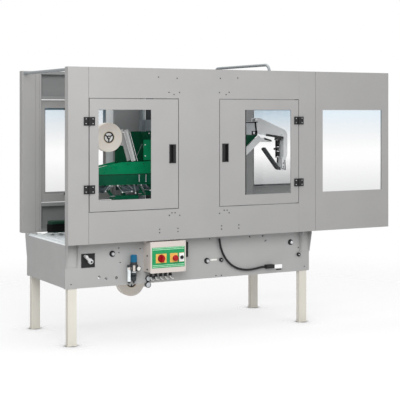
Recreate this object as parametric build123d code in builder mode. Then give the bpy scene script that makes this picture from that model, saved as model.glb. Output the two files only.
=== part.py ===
from build123d import *
import os
from math import atan2, cos, degrees, hypot, pi, radians, sin, tan

# Carton sealer with side belts, upper and lower tape units, a flap folder and a guarded frame.
#
# Units are millimetres.  +X runs along the carton path from the outfeed end to the infeed end,
# +Y from the operator's side to the rear, and +Z up.  The origin is on the floor, at the centre of
# the machine's overall box.  Places are given as a station from the outfeed end of the guard, a
# depth inwards from the outer face of a guard wall, and a height above the floor.
os.makedirs("parts", exist_ok=True)

# Guard walls: two folded sheet walls, one on each side of the carton path.
guard_length = 1890.0
extension_length = 650.0
guard_bottom = 663.0
guard_top = 1800.0
guard_depth = 60.0
guard_offset = 100.0
guard_skin = 3.0
guard_flange = 22.0
post_width = 142.0
edge_radius = 4.0
post_seams = (96.0, 125.0)
seam_width = 3.0
seam_depth = 2.0

# Doors, two in each wall.
door_bottom = 866.0
door_top = 1601.0
door_gap = 5.0
door_depth = 30.0
door_skin = 3.0
front_door_width = 648.0
rear_door_width = 566.0
front_hinge_stile = 67.0
front_latch_stile = 205.0
rear_hinge_stile = 50.0
rear_latch_stile = 68.0
window_bottom = 941.0
window_top = 1526.0
pane_thickness = 5.0
pane_lap = 14.0
extension_stile_near = 61.0
rear_extension_stile_near = 40.0
extension_stile_far = 63.0

# Door hinges: square black plastic leaves with a steel pin.
hinge_height = 55.0
hinge_leaf = 38.0
hinge_leaf_thickness = 6.0
hinge_knuckle_radius = 7.0
hinge_knuckle_gap = 0.5
hinge_pin_radius = 3.0
hinge_pin_clearance = 0.1
hinge_stand_off = 8.0
hinge_centres = (1014.0, 1451.5)
hinge_root = 1.0

# Door pulls: a black tub let into the latch stile.
pull_width = 48.0
pull_height = 125.0
front_pull_inset = 23.0
rear_pull_inset = 8.0
pull_centre = 1233.5
pull_flange = 4.0
pull_border = 6.0
pull_depth = 16.0
pull_wall = 2.5
pull_clearance = 0.3
pull_lip = 14.0
pull_lip_sheet = 3.0

# Bed: sheet sides and end plates on four legs.
bed_inset = 20.0
bed_overrun = 10.0
bed_width = 720.0
bed_bottom = 370.0
bed_top = 655.0
bed_sheet = 4.0
bed_flange = 28.0
leg_width = 60.0
leg_depth = 40.0
leg_wall = 3.0
leg_inset = 20.0
leg_top = 600.0
foot_thickness = 6.0
foot_margin = 4.0
side_hole_radius = 10.0
side_holes = ((256.0, 434.0), (305.0, 420.0), (380.0, 421.0))
side_slots = (((1081.0, 1139.0), (487.0, 501.0), 6.0), ((1609.0, 1673.0), (386.0, 428.0), 8.0))
crossbar_height = 40.0
crossbar_width = 40.0
crossbar_places = (430.0, 850.0, 1420.0)

# Brackets that hold the guard walls out from the bed.
bracket_bottom = 509.0
bracket_root = 22.0
bracket_wall = 3.0
bracket_outer = 78.0
bracket_inner = 30.0
bracket_offset = 10.0
bracket_end_inset = 2.0

# Rollers.
roller_radius = 20.0
roller_pitch = 60.0
roller_first = 46.0
roller_end_margin = 46.0
roller_top = 663.0
roller_side_gap = 6.0
axle_radius = 6.0
axle_clearance = 0.1
turning_rollers = 3
slot_first = 6
slot_last = 13
slot_half_width = 58.0
slot_rail_sheet = 4.0
slot_rail_lap = 11.0

# Side belts.
belt_near = 115.0
belt_far = 1285.0
belt_height = 50.0
belt_bottom = 685.0
belt_thickness = 5.0
belt_loop_width = 70.0
carton_width = 360.0
belt_cover_height = 20.0
belt_cover_gap = 3.0
belt_cover_inset = 4.0
belt_post_width = 8.0
belt_post_rollers = (5, 17)
belt_rod_radius = 10.0
belt_rod_drop = 68.0
belt_rod_clearance = 0.1
belt_shoe_height = 36.0
belt_core_inset = 12.0
belt_plate_height = 6.0
belt_plate_gap = 2.0

# Columns and the cross slide that carries the upper head.
column_near = 888.0
column_width = 90.0
column_depth = 50.0
column_wall = 4.0
column_top = 1700.0
column_tie_height = 50.0
slide_height = 80.0
slide_gap = 0.5
slide_plate = 12.0

# Upper head: a closed housing that carries the tape unit and the flap folder.
head_width = 112.0
head_body_near = 745.0
head_body_top = 1375.0
head_body_bottom = 1015.0
head_step_at = 1500.0
head_step_drop = 30.0
head_body_far = 1650.0
head_nose_depth = 4.0
head_slope = 40.0
drive_box_height = 96.0
ski_width = 140.0
ski_sheet = 6.0
ski_flange = 46.0
ski_flange_sheet = 3.0
ski_lip_length = 110.0
ski_lip_height = 22.0
ski_lip_drop = 12.0
ski_gap = 5.0

# Upper tape unit.
unit_near = 330.0
unit_far = 900.0
unit_sheet = 4.0
unit_drop = 5.0
unit_seam_rise = 71.0
unit_shoulder_rises = (110.0, 125.0, 155.0, 160.0)
unit_shoulder_at = (396.0, 549.0)
unit_cover_sheet = 3.0
unit_corner = 40.0
unit_rod_places = (60.0, 360.0)
unit_rod_radius = 8.0
backing_near = 545.0
backing_top = 1375.0
backing_bottom = 1100.0
backing_sheet = 5.0
backing_corner = 80.0
press_roller_radius = 25.0
press_roller_width = 50.0
press_roller_drop = 30.0
press_roller_at = 425.0
press_arm_run = 120.0
press_arm_rise = 90.0
press_arm_width = 24.0
press_arm_sheet = 4.0
wipe_roller_radius = 18.0
wipe_roller_at = 758.0
wipe_roller_drop = 30.0
wipe_arm_run = 70.0
knife_guard = (560.0, 690.0)
knife_guard_drop = 44.0
knife_guard_height = 34.0
knife_guard_sheet = 3.0

# Tape rolls on their hubs.
tape_width = 50.0
roll_radius = 100.0
core_radius = 38.0
hub_gap = 0.2
hub_rim = 6.0
hub_boss = 13.0
hub_spoke = 8.0
hub_recess = 2.0
spindle_end = 6.0
spindle_radius = 6.0
spindle_clearance = 0.1
roll_arm_sheet = 6.0
roll_arm_width = 46.0
roll_arm_gap = 3.0
roll_arm_reach = 131.0
roll_arm_fall = 40.0
roll_upper_at = 474.0
roll_upper_height = 1337.0
roll_lower_at = 646.0
roll_lower_height = 332.0
guide_bar_width = 28.0
guide_bar_thickness = 8.0
guide_bar_top = (590.0, 1388.0)
guide_bar_foot = (650.0, 1172.0)
guide_pin_radius = 5.0
guide_pin_drop = 20.0

# Lower tape unit.
lower_tie_height = 470.0
lower_tie_radius = 9.0
guide_roller_radius = 20.0
guide_roller_places = ((776.0, 299.0), (784.0, 351.0))
guide_plate_margin = (28.0, 24.0)
guide_plate_reach = (16.0, 22.0)
guide_plate_far = 824.0
guide_plate_step = 350.0
lower_tie_inset = 50.0
lower_block_gap = 6.0

# Flap folder.
arm_width = 60.0
arm_sheet = 4.0
arm_lap = 20.0
arm_crown = (1684.0, 1468.0)
arm_knee = (1928.0, 1369.0)
arm_heel = (1928.0, 1190.0)
arm_neck = (1912.0, 1150.0)
arm_tip_width = 44.0
arm_tip = (1893.0, 1090.0)
arm_tip_drop = 12.0
arm_leg_width = 34.0
arm_throat = (1702.0, 1349.0)
arm_elbow_drop = 48.0
arm_root_rise = 4.0
arm_knee_radius = 45.0
paddle_thickness = 18.0
paddle_width = 40.0
paddle_end = (1735.0, 1243.0)
paddle_bend = (1862.0, 1086.0)
paddle_hook_radius = 26.0
paddle_pin_radius = 5.0
paddle_pin_clearance = 0.1
cylinder_radius = 17.0
cylinder_neck_radius = 12.0
cylinder_levels = (1171.0, 1226.0, 1244.0, 1310.0)
cylinder_gap = 17.0
cylinder_lug = 20.0
cylinder_lug_rise = 28.0
cylinder_lug_root = 10.0
cylinder_rod_radius = 5.0
cylinder_rod_end = 1135.0

# Control box on the front of the bed.
box_near = 577.0
box_far = 835.0
box_bottom = 450.0
box_top = 652.0
box_proud = 10.0
box_lid = 14.0
box_lid_overlap = 2.0
box_radius = 6.0
switch_row = 544.0
plate_thickness = 2.0
plate_height = 60.0
main_plate_width = 78.0
main_switch_at = 653.0
main_knob_radius = 24.0
main_knob_height = 30.0
stop_plate_width = 55.0
stop_at = 746.0
stop_radius = 20.0
stop_stem_radius = 11.0
stop_height = 36.0
stop_cap = 14.0
start_plate_width = 38.0
start_at = 804.0
start_radius = 12.0
start_height = 11.0
button_clearance = 0.3
button_rim = 3.0
button_hole = 9.0
button_seat = 3.0
boss_height = 2.0
main_knob_skirt = 8.0
main_knob_step = 4.0
main_knob_taper = 3.0
main_grip = 12.0
main_grip_margin = 2.0
start_round = 2.0
main_boss_radius = 20.0
gland_stand = 40.0
gland_places = (612.0, 648.0, 684.0, 720.0, 756.0)
gland_radius = 10.0
gland_length = 22.0

# Air service unit: a filter beside a regulator with its knob, gauge and bowl.
air_at = 490.0
air_stand = 32.0
air_block = 44.0
air_block_radius = 5.0
air_knob_radius = 21.0
air_knob_chamfer = 3.0
air_levels = (381.0, 394.0, 462.0, 505.0, 522.0, 569.0)
air_bowl_radius = 17.0
air_bowl_shoulder = 10.0
air_drain_radius = 6.0
air_collar = 1.0
air_foot = (28.0, 31.0)
filter_at = 456.0
filter_radius = 11.5
filter_levels = (384.0, 392.0, 470.0, 504.0)
filter_head_radius = 13.0
gauge_radius = 17.0
gauge_at = 512.0
gauge_height = 481.0
gauge_thickness = 10.0
gauge_stand = 64.0
gauge_stem_radius = 6.0
air_port_radius = 8.0
air_port_length = 16.0

# Hand crank.
crank_plate = (130.0, 224.0)
crank_plate_height = (502.0, 592.0)
crank_plate_thickness = 5.0
crank_hub = (192.0, 540.0)
crank_throw = (-42.0, 38.0)
crank_arm_thickness = 8.0
crank_arm_width = 18.0
crank_knob_radius = 9.0
crank_knob_length = 26.0
crank_gap = 1.0
crank_boss_radius = 14.0
crank_boss_height = 10.0
crank_stub_radius = 6.0
crank_stub_height = 24.0
crank_eye_radius = 13.0
crank_stub_clearance = 0.1

# Cable conduit along the bed, with its elbow connector.
conduit_radius = 7.5
conduit_stand = 16.0
conduit_box_depth = 32.0
conduit_box_radius = 4.0
conduit_route = (
    (1148.0, 640.0), (1155.0, 590.0), (1172.0, 540.0), (1202.0, 491.0), (1242.0, 452.0),
    (1286.0, 427.0), (1337.0, 412.0), (1390.0, 408.0), (1443.0, 413.0), (1492.0, 421.0),
    (1522.0, 421.0),
)
conduit_box = (1522.0, 1586.0)
conduit_box_height = (408.0, 434.0)

# Round tubes that tie the two walls at the top: a straight one at the outfeed, a raised one further in.
tie_radius = 10.0
tie_bend = 50.0
tie_near_at = 22.0
tie_near_drop = 16.0
tie_flange_radius = 15.0
tie_flange_sheet = 4.0
tie_far_at = 1544.0
tie_far_rise = 44.0
tie_foot_drop = 160.0

# Sizes that follow from the ones above.
guard_width = bed_width + 2 * guard_offset
total_length = guard_length + extension_length
unit_bottom = head_body_bottom - unit_drop
unit_seam = unit_bottom + unit_seam_rise
unit_shoulder = tuple(unit_bottom + rise for rise in unit_shoulder_rises)
arm_elbow_height = arm_knee[1] - arm_elbow_drop
ski_near = unit_far + ski_gap
tie_foot = guard_top - tie_foot_drop
front_reach = box_proud + plate_thickness + stop_height
rear_reach = hinge_stand_off + hinge_knuckle_radius
line_y = (front_reach - rear_reach) / 2
middle = guard_width / 2
bed_near = bed_inset
bed_far = guard_length + bed_overrun
bed_side = guard_offset
roller_height = roller_top - roller_radius
column_far = column_near + column_width


def along(station):
    """Position on X of a station measured from the outfeed end of the guard."""
    return station - total_length / 2


def across(depth, rear=False):
    """Position on Y of a depth measured inwards from the outer face of a guard wall."""
    reach = depth - guard_width / 2
    return line_y - reach if rear else line_y + reach


def block(stations, depths, heights, rear=False, mode=Mode.ADD):
    """A rectangular piece between pairs of stations, depths and heights."""
    x = [along(station) for station in stations]
    y = [across(depth, rear) for depth in depths]
    with BuildSketch(Plane.XY.offset(heights[0])) as outline:
        with Locations((sum(x) / 2, sum(y) / 2)):
            Rectangle(abs(x[1] - x[0]), abs(y[1] - y[0]))
    extrude(outline.sketch, amount=heights[1] - heights[0], mode=mode)


def upright(depth, rear=False):
    """A plane that faces the operator's side; its own X and Y are the part's X and Z."""
    return Plane(origin=(0, across(depth, rear), 0), x_dir=(1, 0, 0), z_dir=(0, -1, 0))


def points(*pairs):
    """Turn (station, height) pairs into points on an upright plane."""
    return [(along(station), height) for station, height in pairs]


def slab(outline, depths, mode=Mode.ADD):
    """A closed polygon of (station, height) pairs, extruded between two depths."""
    with BuildSketch(upright(depths[1])) as face:
        with BuildLine():
            Polyline(*points(*outline), close=True)
        make_face()
    extrude(face.sketch, amount=depths[1] - depths[0], mode=mode)


def disc(station, height, radius, depths, rear=False, mode=Mode.ADD):
    """A round piece whose axis runs across the machine, between two depths."""
    y = sorted(across(depth, rear) for depth in depths)
    plane = Plane(origin=(along(station), y[1], height), x_dir=(1, 0, 0), z_dir=(0, -1, 0))
    with BuildSketch(plane) as face:
        Circle(radius)
    extrude(face.sketch, amount=y[1] - y[0], mode=mode)


def post(station, depth, radius, heights, rear=False, mode=Mode.ADD):
    """A round piece whose axis stands upright, between two heights."""
    with BuildSketch(Plane.XY.offset(heights[0])) as face:
        with Locations((along(station), across(depth, rear))):
            Circle(radius)
    extrude(face.sketch, amount=heights[1] - heights[0], mode=mode)


def save(piece, name):
    """Label a finished sub-part and write its file."""
    piece.part.label = name
    export_step(piece.part, f"parts/{name}.step")


# Guard walls.
def guard_posts(rear):
    """The two closed end posts of a wall."""
    for start in (0, guard_length - post_width):
        block((start, start + post_width), (0, guard_depth), (guard_bottom, guard_top), rear)


def post_seam_cuts(rear):
    """The folded seams that run up the inner faces of the posts."""
    for seam in post_seams:
        for start in (seam, guard_length - seam - seam_width):
            block((start, start + seam_width), (guard_depth - seam_depth, guard_depth),
                  (guard_bottom, guard_top), rear, Mode.SUBTRACT)


def guard_channel(heights, rear):
    """A folded channel between the posts, open towards the carton path, with return lips."""
    ends = (post_width, guard_length - post_width)
    low, high = heights
    block(ends, (0, guard_depth), heights, rear)
    block(ends, (guard_skin, guard_depth), (low + guard_skin, high - guard_skin), rear, Mode.SUBTRACT)
    for edge in (low, high - guard_flange):
        block(ends, (guard_depth - guard_skin, guard_depth), (edge, edge + guard_flange), rear)


def guard_centre(rear):
    """The closed panel between the two doors of a wall."""
    near = post_width + (rear_door_width if rear else front_door_width)
    block((near, guard_length - near), (0, guard_depth), (door_bottom, door_top), rear)


def window_cut(stations, heights, depth_end, rear):
    """Cut a window and the rebate behind it that takes the pane."""
    near, far = stations
    low, high = heights
    block((near - pane_lap, far + pane_lap), (door_skin, depth_end), (low - pane_lap, high + pane_lap),
          rear, Mode.SUBTRACT)
    block(stations, (0, depth_end), heights, rear, Mode.SUBTRACT)


def pane(stations, heights, rear):
    """A clear pane that fills the rebate of a window."""
    near, far = stations
    low, high = heights
    block((near - pane_lap, far + pane_lap), (door_skin, door_skin + pane_thickness),
          (low - pane_lap, high + pane_lap), rear)


def extension_window(rear):
    """Stations of the window in the infeed extension of a wall."""
    stile = rear_extension_stile_near if rear else extension_stile_near
    return guard_length + stile, total_length - extension_stile_far


window_heights = (window_bottom, window_top)


def guard_extension(rear):
    """The infeed extension of a wall: a tray with a framed window."""
    ends = (guard_length, total_length)
    block(ends, (0, guard_depth), (guard_bottom, guard_top), rear)
    block((ends[0] + guard_skin, ends[1] - guard_skin), (guard_skin, guard_depth),
          (guard_bottom + guard_skin, guard_top - guard_skin), rear, Mode.SUBTRACT)
    near, far = extension_window(rear)
    rim = pane_lap + guard_skin
    block((near - rim, far + rim), (0, door_depth), (window_bottom - rim, window_top + rim), rear)
    window_cut((near, far), window_heights, door_depth, rear)


with BuildPart() as guard_uprights:
    guard_posts(False)
    guard_posts(True)
    fillet(guard_uprights.edges().filter_by(Axis.Z), edge_radius)
    for rear in (False, True):
        post_seam_cuts(rear)
        guard_centre(rear)
save(guard_uprights, "guard_uprights")

for rear, side in ((False, "front"), (True, "rear")):
    with BuildPart() as guard_channels:
        guard_channel((door_top, guard_top), rear)
        guard_channel((guard_bottom, door_bottom), rear)
    save(guard_channels, f"guard_channels_{side}")

    with BuildPart() as extension:
        guard_extension(rear)
    save(extension, f"guard_extension_{side}")

with BuildPart() as extension_panes:
    for rear in (False, True):
        pane(extension_window(rear), window_heights, rear)
save(extension_panes, "extension_panes")


# Doors.
def door_span(left, rear):
    """Stations of the clear opening of a door."""
    width = rear_door_width if rear else front_door_width
    if left:
        return post_width, post_width + width
    return guard_length - post_width - width, guard_length - post_width


def door_window(left, rear):
    """Stations of the window in a door leaf."""
    near, far = door_span(left, rear)
    hinge_stile = rear_hinge_stile if rear else front_hinge_stile
    latch_stile = rear_latch_stile if rear else front_latch_stile
    if left:
        return near + hinge_stile, far - latch_stile
    return near + latch_stile, far - hinge_stile


def pull_span(left, rear):
    """Stations of the outer border of a door pull."""
    near, far = door_span(left, rear)
    inset = rear_pull_inset if rear else front_pull_inset
    if left:
        return far - inset - pull_width, far - inset
    return near + inset, near + inset + pull_width


def hinge_line(left):
    """Station of a door's hinge axis, in the middle of the gap at the post."""
    if left:
        return post_width + door_gap / 2
    return guard_length - post_width - door_gap / 2


def hinge_half(left, rear, centre, moving):
    """Half a hinge: a leaf with its knuckles; the fixed half also holds the pin."""
    axis = hinge_line(left)
    side = 1 if left == moving else -1
    low = centre - hinge_height / 2
    third = hinge_height / 3
    clear = hinge_knuckle_radius + hinge_knuckle_gap
    leaf = (0, -hinge_leaf_thickness)
    full = sorted((axis + side * clear, axis + side * hinge_leaf))
    block(full, leaf, (low, low + hinge_height), rear)
    if moving:
        spans = ((low + third + hinge_knuckle_gap, low + 2 * third - hinge_knuckle_gap),)
    else:
        spans = ((low, low + third), (low + 2 * third, low + hinge_height))
    for span in spans:
        block(sorted((axis, axis + side * clear)), (-hinge_root, -hinge_leaf_thickness), span, rear)
        post(axis, -hinge_stand_off, hinge_knuckle_radius, span, rear)
    if moving:
        post(axis, -hinge_stand_off, hinge_pin_radius + hinge_pin_clearance,
             (low, low + hinge_height), rear, Mode.SUBTRACT)
    else:
        post(axis, -hinge_stand_off, hinge_pin_radius, (low, low + hinge_height), rear)


def door_leaf(left, rear):
    """A door leaf with its window, rebate and the pocket for its pull."""
    near, far = door_span(left, rear)
    pull_near, pull_far = pull_span(left, rear)
    pocket = pull_border - pull_wall - pull_clearance
    with BuildPart() as leaf:
        block((near + door_gap, far - door_gap), (0, door_depth),
              (door_bottom + door_gap, door_top - door_gap), rear)
        window_cut(door_window(left, rear), window_heights, door_depth, rear)
        block((pull_near + pocket, pull_far - pocket), (0, pull_depth + pull_wall + pull_clearance),
              (pull_centre - pull_height / 2 + pocket, pull_centre + pull_height / 2 - pocket),
              rear, Mode.SUBTRACT)
    return leaf


def door_pull(left, rear):
    """The recessed black pull: a border, a tub behind it and a lip to grip."""
    near, far = pull_span(left, rear)
    low = pull_centre - pull_height / 2
    high = pull_centre + pull_height / 2
    tub = pull_border - pull_wall
    block((near, far), (-pull_flange, 0), (low, high), rear)
    block((near + tub, far - tub), (0, pull_depth + pull_wall), (low + tub, high - tub), rear)
    block((near + pull_border, far - pull_border), (-pull_flange, pull_depth),
          (low + pull_border, high - pull_border), rear, Mode.SUBTRACT)
    lip = (near + pull_border, near + pull_border + pull_lip)
    if left:
        lip = (far - pull_border - pull_lip, far - pull_border)
    block(lip, (-pull_flange, pull_lip_sheet - pull_flange), (low + pull_border, high - pull_border), rear)


for rear, side in ((False, "front"), (True, "rear")):
    for left, hand in ((True, "left"), (False, "right")):
        save(door_leaf(left, rear), f"door_{side}_{hand}")
        with BuildPart() as door_pane:
            pane(door_window(left, rear), window_heights, rear)
        save(door_pane, f"door_pane_{side}_{hand}")
        with BuildPart() as fittings:
            door_pull(left, rear)
            for centre in hinge_centres:
                hinge_half(left, rear, centre, True)
        save(fittings, f"door_fittings_{side}_{hand}")

with BuildPart() as hinge_plates:
    for rear in (False, True):
        for left in (True, False):
            for centre in hinge_centres:
                hinge_half(left, rear, centre, False)
save(hinge_plates, "hinge_plates")


# Top ties.
def straight_tie(station, height):
    """A tube from wall to wall with a round flange against each inner face."""
    depths = (guard_depth, guard_width - guard_depth)
    disc(station, height, tie_radius, depths)
    for rear in (False, True):
        disc(station, height, tie_flange_radius, (guard_depth, guard_depth + tie_flange_sheet), rear)


def bridge_tie(station, height):
    """A tube raised over the carton path, bent down at both walls, its feet against their inner faces."""
    front = across(guard_depth + tie_radius)
    back = across(guard_depth + tie_radius, True)
    x = along(station)
    with BuildLine() as path:
        FilletPolyline((x, front, tie_foot), (x, front, height), (x, back, height), (x, back, tie_foot),
                       radius=tie_bend)
    with BuildSketch(Plane(origin=(x, front, tie_foot), z_dir=(0, 0, 1))) as ring:
        Circle(tie_radius)
    sweep(ring.sketch, path=path.wires()[0])


with BuildPart() as top_ties:
    straight_tie(tie_near_at, guard_top - tie_near_drop)
    bridge_tie(tie_far_at, guard_top + tie_far_rise)
save(top_ties, "top_ties")


# Bed.
leg_near = (bed_near + leg_inset, bed_far - leg_inset - leg_width)
leg_side = bed_side + bed_sheet


def bed_side_panel(rear):
    """A side of the bed: a web with an inward bottom flange, cut away at the legs."""
    block((bed_near, bed_far), (bed_side, bed_side + bed_sheet), (bed_bottom, bed_top), rear)
    block((bed_near, bed_far), (bed_side, bed_side + bed_flange), (bed_bottom, bed_bottom + bed_sheet), rear)
    for start in leg_near:
        block((start, start + leg_width), (leg_side, bed_side + bed_flange),
              (bed_bottom, bed_bottom + bed_sheet), rear, Mode.SUBTRACT)


def rounded_cut(span, level, radius):
    """A slot with round corners through the operator's side of the bed."""
    with BuildSketch(upright(bed_side + bed_sheet)) as slot:
        with Locations((along(sum(span) / 2), sum(level) / 2)):
            RectangleRounded(span[1] - span[0], level[1] - level[0], radius)
    extrude(slot.sketch, amount=bed_sheet, mode=Mode.SUBTRACT)


with BuildPart() as bed_sides:
    bed_side_panel(False)
    bed_side_panel(True)
    for station, height in side_holes:
        disc(station, height, side_hole_radius, (bed_side, bed_side + bed_sheet), mode=Mode.SUBTRACT)
    for span, level, radius in side_slots:
        rounded_cut(span, level, radius)
save(bed_sides, "bed_sides")

belt_rod_height = roller_top - belt_rod_drop
belt_post_at = [roller_first + (i + 0.5) * roller_pitch for i in belt_post_rollers]

with BuildPart() as cross_members:
    across_bed = (leg_side, guard_width - leg_side)
    for start in (bed_near, bed_far - bed_sheet):
        block((start, start + bed_sheet), across_bed, (bed_bottom + bed_sheet, bed_top - bed_sheet))
    for place in crossbar_places:
        block((place - crossbar_width / 2, place + crossbar_width / 2), across_bed,
              (bed_bottom + bed_sheet, bed_bottom + bed_sheet + crossbar_height))
    for station in belt_post_at:
        disc(station, belt_rod_height, belt_rod_radius, across_bed)
save(cross_members, "bed_cross_members")

with BuildPart() as legs:
    for start in leg_near:
        for rear in (False, True):
            block((start, start + leg_width), (leg_side, leg_side + leg_depth), (0, leg_top), rear)
            block((start + leg_wall, start + leg_width - leg_wall),
                  (leg_side + leg_wall, leg_side + leg_depth - leg_wall),
                  (foot_thickness, leg_top), rear, Mode.SUBTRACT)
            block((start - foot_margin, start + leg_width + foot_margin),
                  (leg_side - foot_margin, leg_side + leg_depth + foot_margin), (0, foot_thickness), rear)
save(legs, "legs")


# Brackets between the bed and the guard walls.
def guard_bracket(start, rear):
    """A flared channel bracket: wide at the top, where it meets the wall, narrow at its root."""
    wide = across(guard_depth, rear)
    root = across(bed_side, rear)
    step = (root - wide) / abs(root - wide)
    narrow = root - step * bracket_offset
    for station in (start, start + bracket_outer - bracket_wall):
        with BuildSketch(Plane(origin=(along(station), 0, 0), x_dir=(0, 1, 0), z_dir=(1, 0, 0))) as cheek:
            with BuildLine():
                Polyline((root, bracket_bottom), (root, guard_bottom), (wide, guard_bottom),
                         (wide, guard_bottom - bracket_root), (narrow, bracket_bottom), close=True)
            make_face()
        extrude(cheek.sketch, amount=bracket_wall)
    block((start, start + bracket_outer), (bed_side - bracket_wall, bed_side),
          (bracket_bottom, guard_bottom), rear)


with BuildPart() as guard_brackets:
    for start in (bed_near + bracket_end_inset, bed_far - bracket_end_inset - bracket_outer):
        for rear in (False, True):
            guard_bracket(start, rear)
            block((start, start + bracket_outer), (guard_depth, bed_side),
                  (guard_bottom - bracket_wall, guard_bottom), rear)
            block((start, start + bracket_outer), (guard_depth - bracket_inner, guard_depth),
                  (guard_bottom - bracket_wall, guard_bottom), rear)
save(guard_brackets, "guard_brackets")

# Rollers: tubes that turn on fixed axles between the bed's sides.
slot_near = roller_first + slot_first * roller_pitch - slot_rail_lap
slot_far = roller_first + slot_last * roller_pitch + slot_rail_lap


def roller_stations():
    """Stations of the rollers, with those left out where the columns stand."""
    count = int((bed_far - roller_end_margin - roller_first) / roller_pitch) + 1
    stations = {i: roller_first + i * roller_pitch for i in range(count)}
    return {i: x for i, x in stations.items()
            if not column_near - roller_radius < x < column_far + roller_radius}


def roller_spans(index):
    """Depths between which a roller runs: one full span, or two beside the tape slot."""
    side = leg_side + roller_side_gap
    if slot_first <= index <= slot_last:
        rail = middle - slot_half_width - slot_rail_sheet - roller_side_gap
        return ((side, rail), (guard_width - rail, guard_width - side))
    return ((side, guard_width - side),)


def axle_spans(index):
    """Depths between which an axle runs, from its seat on one plate to its seat on the next."""
    if slot_first <= index <= slot_last:
        rail = middle - slot_half_width - slot_rail_sheet
        return ((leg_side, rail), (guard_width - rail, guard_width - leg_side))
    return ((leg_side, guard_width - leg_side),)


def roller(station, spans):
    """A roller tube with a bore that runs on its axle."""
    for span in spans:
        disc(station, roller_height, roller_radius, span)
        disc(station, roller_height, axle_radius + axle_clearance, span, mode=Mode.SUBTRACT)


for index in range(turning_rollers):
    with BuildPart() as outfeed_roller:
        roller(roller_stations()[index], roller_spans(index))
    save(outfeed_roller, f"outfeed_roller_{index + 1}")

with BuildPart() as bed_rollers:
    for index, station in roller_stations().items():
        if index >= turning_rollers:
            roller(station, roller_spans(index))
        for span in axle_spans(index):
            disc(station, roller_height, axle_radius, span)
save(bed_rollers, "bed_rollers")

# Side belts on carriages that slide across the bed on round rods.
belt_face = middle - carton_width / 2
belt_back = belt_face - belt_loop_width
belt_middle = (belt_face + belt_back) / 2
belt_turn = belt_loop_width / 2
belt_inner = belt_thickness + hub_gap


def loop_face(inset, rear):
    """The belt's path seen from above, drawn in by an inset."""
    with Locations((along((belt_near + belt_far) / 2), across(belt_middle, rear))):
        SlotOverall(belt_far - belt_near - 2 * inset, belt_loop_width - 2 * inset)


def loop_solid(inset, heights, rear, mode=Mode.ADD):
    """A solid with the belt's outline between two heights."""
    with BuildSketch(Plane.XY.offset(heights[0])) as face:
        loop_face(inset, rear)
    extrude(face.sketch, amount=heights[1] - heights[0], mode=mode)


belt_top = belt_bottom + belt_height
for rear, side in ((False, "front"), (True, "rear")):
    with BuildPart() as belt:
        loop_solid(0, (belt_bottom, belt_top), rear)
        loop_solid(belt_thickness, (belt_bottom, belt_top), rear, Mode.SUBTRACT)
    save(belt, f"belt_{side}")

    with BuildPart() as carriage:
        cover_bottom = belt_top + belt_cover_gap
        loop_solid(belt_cover_inset, (cover_bottom, cover_bottom + belt_cover_height), rear)
        chamfer(carriage.faces().sort_by(Axis.Z)[-1].edges(), belt_cover_inset)
        plate_bottom = belt_bottom - belt_plate_gap - belt_plate_height
        loop_solid(belt_cover_inset, (plate_bottom, plate_bottom + belt_plate_height), rear)
        for end in (belt_near + belt_turn, belt_far - belt_turn):
            post(end, belt_middle, belt_turn - belt_inner, (belt_bottom - belt_plate_gap,
                                                            belt_top + belt_cover_gap), rear)
        block((belt_near + belt_loop_width + belt_core_inset, belt_far - belt_loop_width - belt_core_inset),
              (belt_back + belt_core_inset, belt_face - belt_core_inset),
              (belt_bottom - belt_plate_gap, belt_top + belt_cover_gap), rear)
        for station in belt_post_at:
            half = belt_post_width / 2
            block((station - half, station + half), (belt_back + belt_core_inset, belt_face - belt_core_inset),
                  (belt_rod_height, plate_bottom), rear)
            block((station - belt_shoe_height / 2, station + belt_shoe_height / 2),
                  (belt_back, belt_face),
                  (belt_rod_height - belt_shoe_height / 2, belt_rod_height + belt_shoe_height / 2), rear)
            disc(station, belt_rod_height, belt_rod_radius + belt_rod_clearance, (belt_back, belt_face),
                 rear, Mode.SUBTRACT)
    save(carriage, f"belt_carriage_{side}")

# Columns, tied together at the top.
column_bottom = bed_bottom + bed_sheet
with BuildPart() as columns:
    for rear in (False, True):
        block((column_near, column_far), (leg_side, leg_side + column_depth), (column_bottom, column_top), rear)
        block((column_near + column_wall, column_far - column_wall),
              (leg_side + column_wall, leg_side + column_depth - column_wall),
              (column_bottom, column_top), rear, Mode.SUBTRACT)
    block((column_near, column_far), (leg_side, guard_width - leg_side),
          (column_top, column_top + column_tie_height))
save(columns, "head_columns")

# Cross slide of the head: a beam with shoes that wrap the columns on three sides.
slide_bottom = head_body_top
slide_top = slide_bottom + slide_height
column_inner = leg_side + column_depth
with BuildPart() as head_slide:
    block((column_near + slide_plate, column_far - slide_plate), (column_inner + slide_gap,
          guard_width - column_inner - slide_gap), (slide_bottom, slide_top))
    for rear in (False, True):
        block((column_near - slide_gap - slide_plate, column_far + slide_gap + slide_plate),
              (leg_side + slide_plate, column_inner + slide_gap + slide_plate), (slide_bottom, slide_top), rear)
        block((column_near - slide_gap, column_far + slide_gap),
              (leg_side + slide_plate, column_inner + slide_gap), (slide_bottom, slide_top), rear, Mode.SUBTRACT)
save(head_slide, "head_slide")

# Head housing.
head_front = middle - head_width / 2
head_back = middle + head_width / 2
head_rise = tan(radians(head_slope))
head_step = head_body_top - head_step_drop
head_nose = head_step - head_nose_depth
head_toe = head_body_far - (head_nose - head_body_bottom) / head_rise
with BuildPart() as head_body:
    slab(((head_body_near, head_body_bottom), (head_body_near, head_body_top), (head_step_at, head_body_top),
          (head_step_at + head_step_drop, head_step), (head_body_far, head_step), (head_body_far, head_nose),
          (head_toe, head_body_bottom)), (head_front, head_back))
save(head_body, "head_body")

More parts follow.
